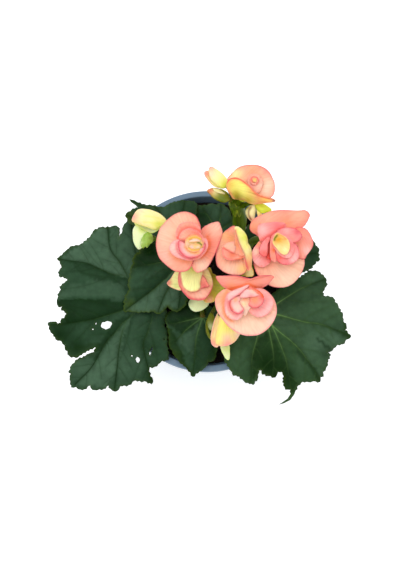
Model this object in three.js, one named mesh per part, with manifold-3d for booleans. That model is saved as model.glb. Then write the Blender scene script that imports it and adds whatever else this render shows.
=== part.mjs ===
// A begonia in a plastic nursery pot, in millimetres, +Z up.
// The origin is the middle of the pot's flat base, +X is to the right and +Y is to the back.
// Leaves, petals and buds are closed sheets and pillows with hand-drawn margins. A leaf is joined to its own
// petiole and a bloom's petals to their receptacle, and both are cut clear of the stems that carry them.

import * as THREE from 'three';
import Module from 'manifold-3d';
import { mergeVertices } from 'three/addons/utils/BufferGeometryUtils.js';

const wasm = await Module();
wasm.setup();

// ---------------------------------------------------------------- driving dimensions

const GAP = 0.3; // clearance between pieces that touch

// pot
const POT_HEIGHT = 102;
const RIM_RADIUS = 65;
const LIP_WIDTH = 4;
const SKIRT_HEIGHT = 9;
const WALL = 1.2;
const BASE_RADIUS = 47;
const NECK_RADIUS = 61;
const FLOOR_THICKNESS = 1.6;
const FOOT_WIDTH = 6;
const FOOT_LIFT = 3; // how far the channel between the foot ring and the centre disc is raised
const CENTRE_DISC_RADIUS = 20;
const POT_SIDES = 30;
const DRAIN_HOLES = 8;
const DRAIN_RADIUS = 4;
const DRAIN_CIRCLE = 31;
const DRAIN_SIDES = 6;
const CHANNEL_SLOPE = 1;
const LIP_THICKNESS = 1.4;
const LIP_ROUNDING = 0.7;

// soil
const SOIL_TOP = 95;
const SOIL_RINGS = 5;
const SOIL_SIDES = 20;
const SOIL_LUMP = 0.9; // how far crumbs stand above or below the soil's level

// blades and petals
const LEAF_THICKNESS = 0.8;
const LEAF_RINGS = 3;
const LEAF_ARCH = 1.7; // above 1, a leaf stays level round its hub and bends down towards its margin
const FALL_BLEND = 4; // how closely a margin's height follows the nearest of its listed directions
const VEIN_VALLEY = 1.3; // how deep a leaf dips along its main veins
const VEIN_SPREAD = 0.02; // how wide such a valley is, as 1 less the cosine of the angle off the vein
const VALLEY_LENGTH = 1.1; // how far a valley runs, in distances from the hub to the margin
const PETAL_THICKNESS = 0.8;
const PETAL_GRID = 5; // squares a side in a large petal's mesh
const FLAP_GRID = 3;

// stalks
const STALK_SIDES = 7;
const STALK_STEP = 11; // length of one straight stretch
const PETIOLE_RADIUS = 2;
const PETIOLE_TIP_RADIUS = 1.6;
const RECEPTACLE_RADIUS = 4.2;
const RECEPTACLE_DEPTH = 5;
const RECEPTACLE_DOME = 2.2;
const RECEPTACLE_SIDES = 8;
const SEAT_DEPTH = 1.2; // how far a flower stalk runs up into its receptacle
const PLANT_FORWARD = 1.5; // how far the plant's own middle stands in front of the pot's

// Margins are drawn in millimetres on the plane of the pot's rim, as seen by an eye high above the plant. A
// point that stands higher than the rim is nearer to the eye, so it is drawn back along its own line of sight
// and keeps its place in that view.
const EYE = new THREE.Vector3(-5, -106.7, 692.9);

function seenAt(u, v, z) {
  const nearer = (z - POT_HEIGHT) / (EYE.z - POT_HEIGHT);
  return new THREE.Vector3(u + nearer * (EYE.x - u), v + nearer * (EYE.y - v), z);
}

// ---------------------------------------------------------------- solids

function solidOf(geometry) {
  const bare = geometry.index ? geometry.clone() : geometry;
  bare.deleteAttribute('normal');
  bare.deleteAttribute('uv');
  const merged = mergeVertices(bare, 1e-4);
  return new wasm.Manifold(new wasm.Mesh({
    numProp: 3,
    vertProperties: new Float32Array(merged.attributes.position.array),
    triVerts: new Uint32Array(merged.index.array),
  }));
}

function geometryOf(solid) {
  const mesh = solid.getMesh();
  const geometry = new THREE.BufferGeometry();
  geometry.setAttribute('position', new THREE.BufferAttribute(mesh.vertProperties, 3));
  geometry.setIndex(new THREE.BufferAttribute(mesh.triVerts, 1));
  geometry.computeVertexNormals();
  return geometry;
}

function joined(solids) {
  return solids.reduce((whole, piece) => whole.add(piece));
}

function indexed(points, faces) {
  const geometry = new THREE.BufferGeometry();
  const numbers = points.flatMap((point) => point.toArray());
  geometry.setAttribute('position', new THREE.Float32BufferAttribute(numbers, 3));
  geometry.setIndex(faces.flat());
  return geometry;
}

// A sheet with two faces and a rim. Both faces share their triangles, so a waved sheet never crosses itself.
function thickened(points, faces, rim, thicknessAt) {
  const normals = points.map(() => new THREE.Vector3());
  for (const [a, b, c] of faces) {
    const ab = points[b].clone().sub(points[a]);
    const ac = points[c].clone().sub(points[a]);
    const normal = ab.cross(ac);
    for (const corner of [a, b, c]) {
      normals[corner].add(normal);
    }
  }
  const half = points.map((point, i) => normals[i].normalize().multiplyScalar(thicknessAt(i) / 2));
  const upper = points.map((point, i) => point.clone().add(half[i]));
  const lower = points.map((point, i) => point.clone().sub(half[i]));
  const below = points.length;
  const allFaces = [...faces];
  for (const [a, b, c] of faces) {
    allFaces.push([a + below, c + below, b + below]);
  }
  rim.forEach((a, i) => {
    const b = rim[(i + 1) % rim.length];
    allFaces.push([a, a + below, b + below], [a, b + below, b]);
  });
  return indexed([...upper, ...lower], allFaces);
}

// A stalk that tapers along a smooth curve through the given points, with flat ends. grow makes it thicker
// and longer all round, as the room that a neighbour leaves for it.
function stalk(points, startRadius, endRadius, grow = 0) {
  const route = points.map((p) => p.clone());
  if (grow > 0) {
    const back = route[0].clone().sub(route[1]).setLength(grow);
    const onward = route.at(-1).clone().sub(route.at(-2)).setLength(grow);
    route[0].add(back);
    route.at(-1).add(onward);
  }
  const curve = new THREE.CatmullRomCurve3(route);
  const steps = Math.max(2, Math.round(curve.getLength() / STALK_STEP));
  const frames = curve.computeFrenetFrames(steps);
  const ring = [];
  const faces = [];
  for (let i = 0; i <= steps; i += 1) {
    const centre = curve.getPointAt(i / steps);
    const radius = THREE.MathUtils.lerp(startRadius, endRadius, i / steps) + grow;
    for (let side = 0; side < STALK_SIDES; side += 1) {
      const angle = (2 * Math.PI * side) / STALK_SIDES;
      ring.push(centre.clone()
        .addScaledVector(frames.normals[i], radius * Math.cos(angle))
        .addScaledVector(frames.binormals[i], radius * Math.sin(angle)));
    }
  }
  for (let i = 0; i < steps; i += 1) {
    for (let side = 0; side < STALK_SIDES; side += 1) {
      const a = i * STALK_SIDES + side;
      const b = i * STALK_SIDES + ((side + 1) % STALK_SIDES);
      faces.push([a, b, b + STALK_SIDES], [a, b + STALK_SIDES, a + STALK_SIDES]);
    }
  }
  const end = steps * STALK_SIDES;
  for (let side = 1; side < STALK_SIDES - 1; side += 1) {
    faces.push([0, side + 1, side], [end, end + side, end + side + 1]);
  }
  return solidOf(indexed(ring, faces));
}

// A round patch over a closed smooth margin: a square grid is pressed into a disc, so every petal has the
// same even mesh. edge and mid are [u, v, height above the base], and a height that is left out is 0. bowl
// says how late the surface turns up to the margin, and belly how much thicker its middle is.
function patch({ edge, mid, grid = PETAL_GRID, bowl = 2, thickness = PETAL_THICKNESS, belly = 0 }, base) {
  const corners = edge.map((p) => new THREE.Vector3(...p));
  const margin = new THREE.CatmullRomCurve3(corners, true, 'catmullrom', 0.5);
  const [midU, midV, midRise = 0] = mid;
  const points = [];
  const radii = [];
  const faces = [];
  for (let row = 0; row <= grid; row += 1) {
    for (let column = 0; column <= grid; column += 1) {
      const a = (2 * column) / grid - 1;
      const b = (2 * row) / grid - 1;
      const x = a * Math.sqrt(1 - (b * b) / 2);
      const y = b * Math.sqrt(1 - (a * a) / 2);
      const radius = Math.min(1, Math.hypot(x, y));
      const turn = (Math.atan2(y, x) / (2 * Math.PI) + 1) % 1;
      const rim = margin.getPoint(turn);
      const u = THREE.MathUtils.lerp(midU, rim.x, radius);
      const v = THREE.MathUtils.lerp(midV, rim.y, radius);
      const rise = THREE.MathUtils.lerp(midRise, rim.z, radius ** bowl);
      points.push(seenAt(u, v, base + rise));
      radii.push(radius);
    }
  }
  const wide = grid + 1;
  for (let row = 0; row < grid; row += 1) {
    for (let column = 0; column < grid; column += 1) {
      const a = row * wide + column;
      const b = a + 1;
      const slant = (row < grid / 2) === (column < grid / 2);
      if (slant) {
        faces.push([a, b, b + wide], [a, b + wide, a + wide]);
      } else {
        faces.push([a, b, a + wide], [b, b + wide, a + wide]);
      }
    }
  }
  const rim = [];
  for (let i = 0; i < grid; i += 1) {
    rim.push(i);
  }
  for (let i = 0; i < grid; i += 1) {
    rim.push(grid + i * wide);
  }
  for (let i = grid; i > 0; i -= 1) {
    rim.push(grid * wide + i);
  }
  for (let i = grid; i > 0; i -= 1) {
    rim.push(i * wide);
  }
  const thicknessAt = (i) => thickness + belly * Math.sqrt(1 - radii[i] ** 2);
  return solidOf(thickened(points, faces, rim, thicknessAt));
}

// ---------------------------------------------------------------- pot and soil

function wallRadiusAt(z) {
  return THREE.MathUtils.lerp(BASE_RADIUS, NECK_RADIUS, z / POT_HEIGHT);
}

function turned(profile, sides) {
  const lathe = new THREE.LatheGeometry(profile.map(([r, z]) => new THREE.Vector2(r, z)), sides);
  lathe.rotateX(Math.PI / 2);
  return solidOf(lathe);
}

const INNER_FLOOR = FOOT_LIFT + FLOOR_THICKNESS;

function potSolid() {
  const lipUnder = POT_HEIGHT - LIP_THICKNESS;
  const skirtFoot = POT_HEIGHT - SKIRT_HEIGHT;
  const body = turned([
    [0, 0],
    [CENTRE_DISC_RADIUS, 0],
    [CENTRE_DISC_RADIUS + CHANNEL_SLOPE, FOOT_LIFT],
    [BASE_RADIUS - FOOT_WIDTH - CHANNEL_SLOPE, FOOT_LIFT],
    [BASE_RADIUS - FOOT_WIDTH, 0],
    [BASE_RADIUS, 0],
    [wallRadiusAt(lipUnder), lipUnder],
    [RIM_RADIUS - WALL, lipUnder],
    [RIM_RADIUS - WALL, skirtFoot],
    [RIM_RADIUS - LIP_ROUNDING / 2, skirtFoot],
    [RIM_RADIUS, POT_HEIGHT - LIP_ROUNDING],
    [RIM_RADIUS - LIP_ROUNDING, POT_HEIGHT],
    [RIM_RADIUS - LIP_WIDTH + LIP_ROUNDING, POT_HEIGHT],
    [RIM_RADIUS - LIP_WIDTH - LIP_ROUNDING, POT_HEIGHT - LIP_ROUNDING],
    [wallRadiusAt(skirtFoot) - WALL, skirtFoot],
    [wallRadiusAt(INNER_FLOOR) - WALL, INNER_FLOOR],
    [0, INNER_FLOOR],
  ], POT_SIDES);
  const drains = [];
  for (let i = 0; i < DRAIN_HOLES; i += 1) {
    const drain = new THREE.CylinderGeometry(DRAIN_RADIUS, DRAIN_RADIUS, 4 * INNER_FLOOR, DRAIN_SIDES);
    const turn = (2 * Math.PI * (i + 0.5)) / DRAIN_HOLES;
    drain.rotateX(Math.PI / 2);
    drain.translate(DRAIN_CIRCLE * Math.cos(turn), DRAIN_CIRCLE * Math.sin(turn), 0);
    drains.push(solidOf(drain));
  }
  return body.subtract(joined(drains));
}

// Waves that never line up with each other make the crumbly top.
function crumbAt(ring, side) {
  return SOIL_LUMP * Math.sin(3.1 * ring + 7 * side) * Math.cos(1.7 * ring * side);
}

function soilSolid() {
  const bottom = INNER_FLOOR + GAP;
  const topRadius = wallRadiusAt(SOIL_TOP) - WALL - GAP - SOIL_LUMP;
  const points = [new THREE.Vector3(0, 0, SOIL_TOP)];
  const faces = [];
  for (let ring = 1; ring <= SOIL_RINGS; ring += 1) {
    const radius = (topRadius * ring) / SOIL_RINGS;
    for (let side = 0; side < SOIL_SIDES; side += 1) {
      const turn = (2 * Math.PI * (side + 0.5 * ring)) / SOIL_SIDES;
      const height = SOIL_TOP + crumbAt(ring, side);
      points.push(new THREE.Vector3(radius * Math.cos(turn), radius * Math.sin(turn), height));
    }
  }
  const at = (ring, side) => 1 + (ring - 1) * SOIL_SIDES + (side % SOIL_SIDES);
  for (let side = 0; side < SOIL_SIDES; side += 1) {
    faces.push([0, at(1, side), at(1, side + 1)]);
    for (let ring = 1; ring < SOIL_RINGS; ring += 1) {
      faces.push([at(ring, side), at(ring + 1, side), at(ring, side + 1)]);
      faces.push([at(ring, side + 1), at(ring + 1, side), at(ring + 1, side + 1)]);
    }
  }
  const foot = points.length;
  const footRadius = wallRadiusAt(bottom) - WALL - GAP;
  for (let side = 0; side < SOIL_SIDES; side += 1) {
    const turn = (2 * Math.PI * (side + 0.5 * SOIL_RINGS)) / SOIL_SIDES;
    points.push(new THREE.Vector3(footRadius * Math.cos(turn), footRadius * Math.sin(turn), bottom));
  }
  const last = points.length;
  points.push(new THREE.Vector3(0, 0, bottom));
  for (let side = 0; side < SOIL_SIDES; side += 1) {
    const next = (side + 1) % SOIL_SIDES;
    faces.push([at(SOIL_RINGS, side), foot + side, at(SOIL_RINGS, side + 1)]);
    faces.push([at(SOIL_RINGS, side + 1), foot + side, foot + next]);
    faces.push([last, foot + next, foot + side]);
  }
  return solidOf(indexed(points, faces));
}

// ---------------------------------------------------------------- leaves

// A leaf is a fan of rings between its hub, where the petiole and the main veins meet, and its cut margin.
// fall lists [direction in degrees, height of the margin], veins the points that the main veins run to, and
// holes [u, v, height, length, width] of the places that were eaten through.
function leafBlade({ hub, margin, fall, veins, holes = [] }) {
  const directionOf = ([u, v]) => Math.atan2(v - hub[1], u - hub[0]);
  const marginHeight = (direction) => {
    let weight = 0;
    let height = 0;
    for (const [degrees, z] of fall) {
      const closeness = Math.exp(FALL_BLEND * Math.cos(direction - THREE.MathUtils.degToRad(degrees)));
      weight += closeness;
      height += closeness * z;
    }
    return height / weight;
  };
  const valley = (direction, reach) => {
    let deepest = 0;
    for (const vein of veins) {
      const off = 1 - Math.cos(direction - directionOf(vein));
      deepest = Math.max(deepest, Math.exp(-off / VEIN_SPREAD));
    }
    return -VEIN_VALLEY * deepest * Math.sin((Math.PI * reach) / VALLEY_LENGTH);
  };
  const points = [seenAt(...hub)];
  const faces = [];
  const count = margin.length;
  for (let ring = 1; ring <= LEAF_RINGS; ring += 1) {
    const reach = ring / LEAF_RINGS;
    for (const corner of margin) {
      const direction = directionOf(corner);
      const u = THREE.MathUtils.lerp(hub[0], corner[0], reach);
      const v = THREE.MathUtils.lerp(hub[1], corner[1], reach);
      const level = THREE.MathUtils.lerp(hub[2], marginHeight(direction), reach ** LEAF_ARCH);
      points.push(seenAt(u, v, level + valley(direction, reach)));
    }
  }
  const at = (ring, side) => 1 + (ring - 1) * count + (side % count);
  for (let side = 0; side < count; side += 1) {
    faces.push([0, at(1, side), at(1, side + 1)]);
    for (let ring = 1; ring < LEAF_RINGS; ring += 1) {
      faces.push([at(ring, side), at(ring + 1, side), at(ring + 1, side + 1)]);
      faces.push([at(ring, side), at(ring + 1, side + 1), at(ring, side + 1)]);
    }
  }
  const rim = margin.map((_, side) => at(LEAF_RINGS, side));
  const blade = solidOf(thickened(points, faces, rim, () => LEAF_THICKNESS));
  return holes.reduce((left, hole) => left.subtract(eatenHole(...hole)), blade);
}

function eatenHole(u, v, z, length, width) {
  const depth = 30;
  const sides = 8;
  const bite = new THREE.CylinderGeometry(0.5, 0.5, depth, sides);
  bite.scale(length, 1, width);
  bite.rotateX(Math.PI / 2);
  const place = seenAt(u, v, z);
  bite.translate(place.x, place.y, place.z);
  return solidOf(bite);
}

// hub is [u, v, height], margin runs anticlockwise, and petiole lists real points from the hub to the stem.
const LEAVES = {
  leaf_left: {
    hub: [-47, -18, 116],
    margin: [
      [-38.6, -72.4], [-38, -69], [-39.1, -61.5], [-36.6, -60.3], [-31.4, -56], [-27, -55.5], [-27, -51.6],
      [-28, -44.2], [-28, -35], [-30, -31], [-28.4, -23], [-29, -18], [-33, -12.5], [-40, -12],
      [-41.5, -10.5],
      [-42.5, -4], [-44.5, 6], [-47, 16], [-49, 28], [-50.8, 40], [-54, 47], [-58.5, 43], [-60.3, 40],
      [-62.2, 32.4], [-64.6, 39.9], [-69.5, 39.5], [-76, 39.5], [-80.7, 37.3], [-84.2, 31.8], [-90, 27.3],
      [-96.2, 25.8], [-103.2, 19.2], [-106.6, 16.8], [-103.2, 10], [-105, 3.8], [-98.7, 0.8],
      [-104.3, -3.5],
      [-103.2, -6], [-105.7, -16], [-100.5, -21], [-98.8, -23], [-102.6, -27.3], [-107.5, -28.7],
      [-111.5, -29.8], [-110, -34.8], [-105.8, -41.2], [-101.6, -42.6], [-99.3, -47.2], [-96, -52.7],
      [-91.2, -54.2], [-78.5, -47], [-88.9, -57.4], [-95.6, -64.8], [-94.2, -74.6], [-87.4, -76],
      [-81, -73.2], [-77.8, -76.4], [-71.4, -75.5], [-68.3, -73.2], [-64.1, -77.3], [-60.3, -73.7],
      [-54.1, -72.8], [-50, -69.7], [-42.2, -70.6],
    ],
    fall: [[0, 112], [60, 115], [95, 108], [125, 102], [160, 97], [190, 94], [230, 96], [262, 101],
      [300, 108]],
    veins: [[-68.8, 23.5], [-96, 14.8], [-111, -30], [-92, -72], [-64, -77], [-38, -71]],
    holes: [[-70.7, -31, 110, 8, 5.5], [-48.3, -55.3, 106, 3, 4]],
    petiole: [[-45.6, -20.2, 115.4], [-30, -9, 109], [-12, 3, 103]],
  },
  leaf_middle: {
    hub: [-18, 14, 130],
    margin: [
      [-15.7, -17.6], [-13.5, -12], [-12.8, -4], [-13.2, 4], [-15, 10], [-16, 13], [-14.4, 17], [-9, 21],
      [-9, 27], [-17, 30], [-28, 32], [-40, 30], [-47.3, 23.4], [-50.5, 20], [-52.8, 16.7], [-53.9, 10],
      [-54.1, 6.5], [-55.2, 2.3], [-56.2, -1.9], [-55, -6], [-58.5, -13.2], [-58.6, -19.1], [-58.2, -21.4],
      [-54.4, -21.5], [-49.5, -22], [-42.8, -21.7], [-37.6, -21.5], [-34.7, -23.2], [-31.3, -21.7],
      [-29.6, -19.7], [-27.6, -17.5], [-26.1, -19.7], [-22.7, -21.2], [-20.3, -21.2], [-17.5, -19.1],
    ],
    fall: [[0, 127], [90, 126], [150, 124], [180, 123], [220, 119.5], [260, 120], [300, 124]],
    veins: [[-58, -21], [-53, 14], [-35, -21], [-20, -20]],
    petiole: [[-17.3, 8.4, 129.4], [-15, 6, 122], [-12, 3, 113]],
  },
  leaf_front: {
    hub: [-3, -25.5, 118],
    margin: [
      [-10, -67.2], [-5.5, -63.4], [-2.5, -61.5], [-0.2, -59.2], [0.6, -56.7], [3.6, -56.3], [5.5, -54.2],
      [6.5, -50.1], [7, -46.7], [9, -40], [9.5, -32], [9, -25], [6, -19], [0.5, -17.5], [-2, -22],
      [-4, -21],
      [-8, -15], [-15, -14], [-22, -17.5], [-25, -21], [-27.4, -22.5], [-29.5, -27.9], [-27.8, -34.8],
      [-26.9, -43.2], [-26.3, -46.2], [-22.9, -52.4], [-19.8, -56.2], [-14, -61.9], [-11.7, -64.1],
    ],
    fall: [[0, 113], [90, 117], [150, 115], [190, 114], [225, 110], [262, 104], [300, 108]],
    veins: [[-10, -67], [-26, -46], [-29, -28], [6, -50]],
    petiole: [[-3.1, -27.4, 117.4], [-5, -14, 111], [-10.6, 1, 104]],
  },
  leaf_right: {
    hub: [40, -22.5, 120],
    margin: [
      [11.8, -50], [12, -55.8], [15.2, -60.6], [17.1, -63.8], [17.9, -66.4], [22.3, -67], [25, -69.8],
      [28.2, -71.4], [31.8, -72.8], [33.4, -70.2], [35.1, -68.6], [36, -62.8], [37.6, -62.6], [38.2, -65.6],
      [42, -66.6], [46, -67.8], [48.4, -65.8], [49.2, -63.7], [52, -63.8], [54.6, -71], [56.1, -75.5],
      [58.4, -82], [60.2, -79], [61.1, -76.5], [63.2, -73], [66.1, -70.6], [74.9, -70.3], [78.3, -70.6],
      [78.6, -67.4], [80.7, -67], [80.4, -63.8], [83.7, -57.4], [84.1, -55], [86.2, -51.8], [83.2, -49.4],
      [87.1, -49.2], [88.3, -47.4], [90.8, -45], [94.8, -44.6], [100.6, -39.3], [98.6, -36.8],
      [96.7, -34.4],
      [97.6, -31.5], [95.6, -28.2], [95.5, -24], [93.8, -21.6], [92.3, -17.5], [90, -14.7], [89.2, -12],
      [86.7, -11], [82, -10], [81.5, -7.7], [84.3, -3.5], [84.6, 1], [81, 5.2], [78.2, 7.4], [73, 8],
      [66, 3],
      [56, -2], [47, -8], [42.5, -14], [40, -18.5], [37, -14], [30, -8], [23, -8], [17, -12], [13.5, -20],
      [12, -30], [11.5, -40],
    ],
    fall: [[0, 102], [345, 98], [315, 97], [287, 97], [258, 102.5], [230, 107], [200, 112], [150, 115],
      [90, 117],
      [35, 105]],
    veins: [[84, 1], [100, -39], [78, -70], [57, -76], [31, -72]],
    petiole: [[38.6, -24.8, 119.4], [30, -11, 112], [18.4, 0, 104]],
  },
  leaf_right_back: {
    hub: [48, 22, 115],
    margin: [
      [73.8, 9.2], [76.7, 12.2], [80, 15.2], [79.3, 20.5], [79, 24.7], [76.2, 28.9], [70, 34], [63, 38],
      [54, 40], [45, 41], [37, 43], [30, 41.5], [26.4, 36], [29, 29.5], [37, 24.5], [45, 19.5], [42, 12],
      [46, 5], [55, 3], [65, 5],
    ],
    fall: [[0, 107], [60, 108], [120, 112], [180, 114], [270, 112], [330, 109]],
    veins: [[79, 20], [70, 34], [55, 3]],
    petiole: [[46.8, 19, 114.4], [32, 9, 109], [18.4, 1, 102]],
  },
  leaf_back_left: {
    hub: [-23, 30, 116],
    margin: [
      [-12, 22], [-8, 30], [-8, 38], [-8.5, 46], [-6.8, 56], [-8.2, 57.7], [-11.2, 58.7], [-16, 59.3],
      [-19.5, 59], [-24.9, 57.7], [-27.9, 56.2], [-31.5, 54.3], [-36.3, 54.9], [-44, 56.2], [-49.5, 57.6],
      [-56, 60.2], [-54, 57.6], [-49.5, 53.3], [-53.4, 53.4], [-56.7, 50.9], [-58.8, 48.1], [-57.2, 45.7],
      [-56, 42.6], [-52.7, 40.8], [-48, 38], [-41, 33], [-34, 24], [-28, 20], [-22, 21], [-19.4, 25.5],
    ],
    fall: [[300, 113], [0, 112], [50, 110], [80, 108], [110, 110], [137, 113], [160, 115], [200, 115],
      [250, 114]],
    veins: [[-58, 48], [-32, 54], [-16, 59]],
    petiole: [[-22.5, 27, 115.4], [-18, 16, 108], [-11, 4, 100]],
  },
  leaf_back: {
    hub: [8, 36, 110],
    margin: [
      [15, 31], [18, 35], [19, 42], [17, 50], [13.3, 54.6], [9.7, 57.1], [5.5, 56.5], [2, 56.8],
      [-3.5, 55.4],
      [-6.2, 55.6], [-9, 46], [-10, 39], [-7, 32], [0, 26], [6, 27], [9.2, 33],
    ],
    fall: [[0, 108], [60, 107], [100, 106], [140, 106], [180, 106.5], [260, 108]],
    veins: [[10, 57], [-4, 55], [18, 44]],
    petiole: [[7.9, 33.4, 109.4], [10.4, 28, 104], [13, 22, 99]],
  },
};

function leafSolid(leaf) {
  const route = leaf.petiole.map((p) => new THREE.Vector3(...p));
  const petiole = stalk(route, PETIOLE_TIP_RADIUS, PETIOLE_RADIUS);
  return leafBlade(leaf).add(petiole).subtract(stemRoom);
}

// ---------------------------------------------------------------- blooms

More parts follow.
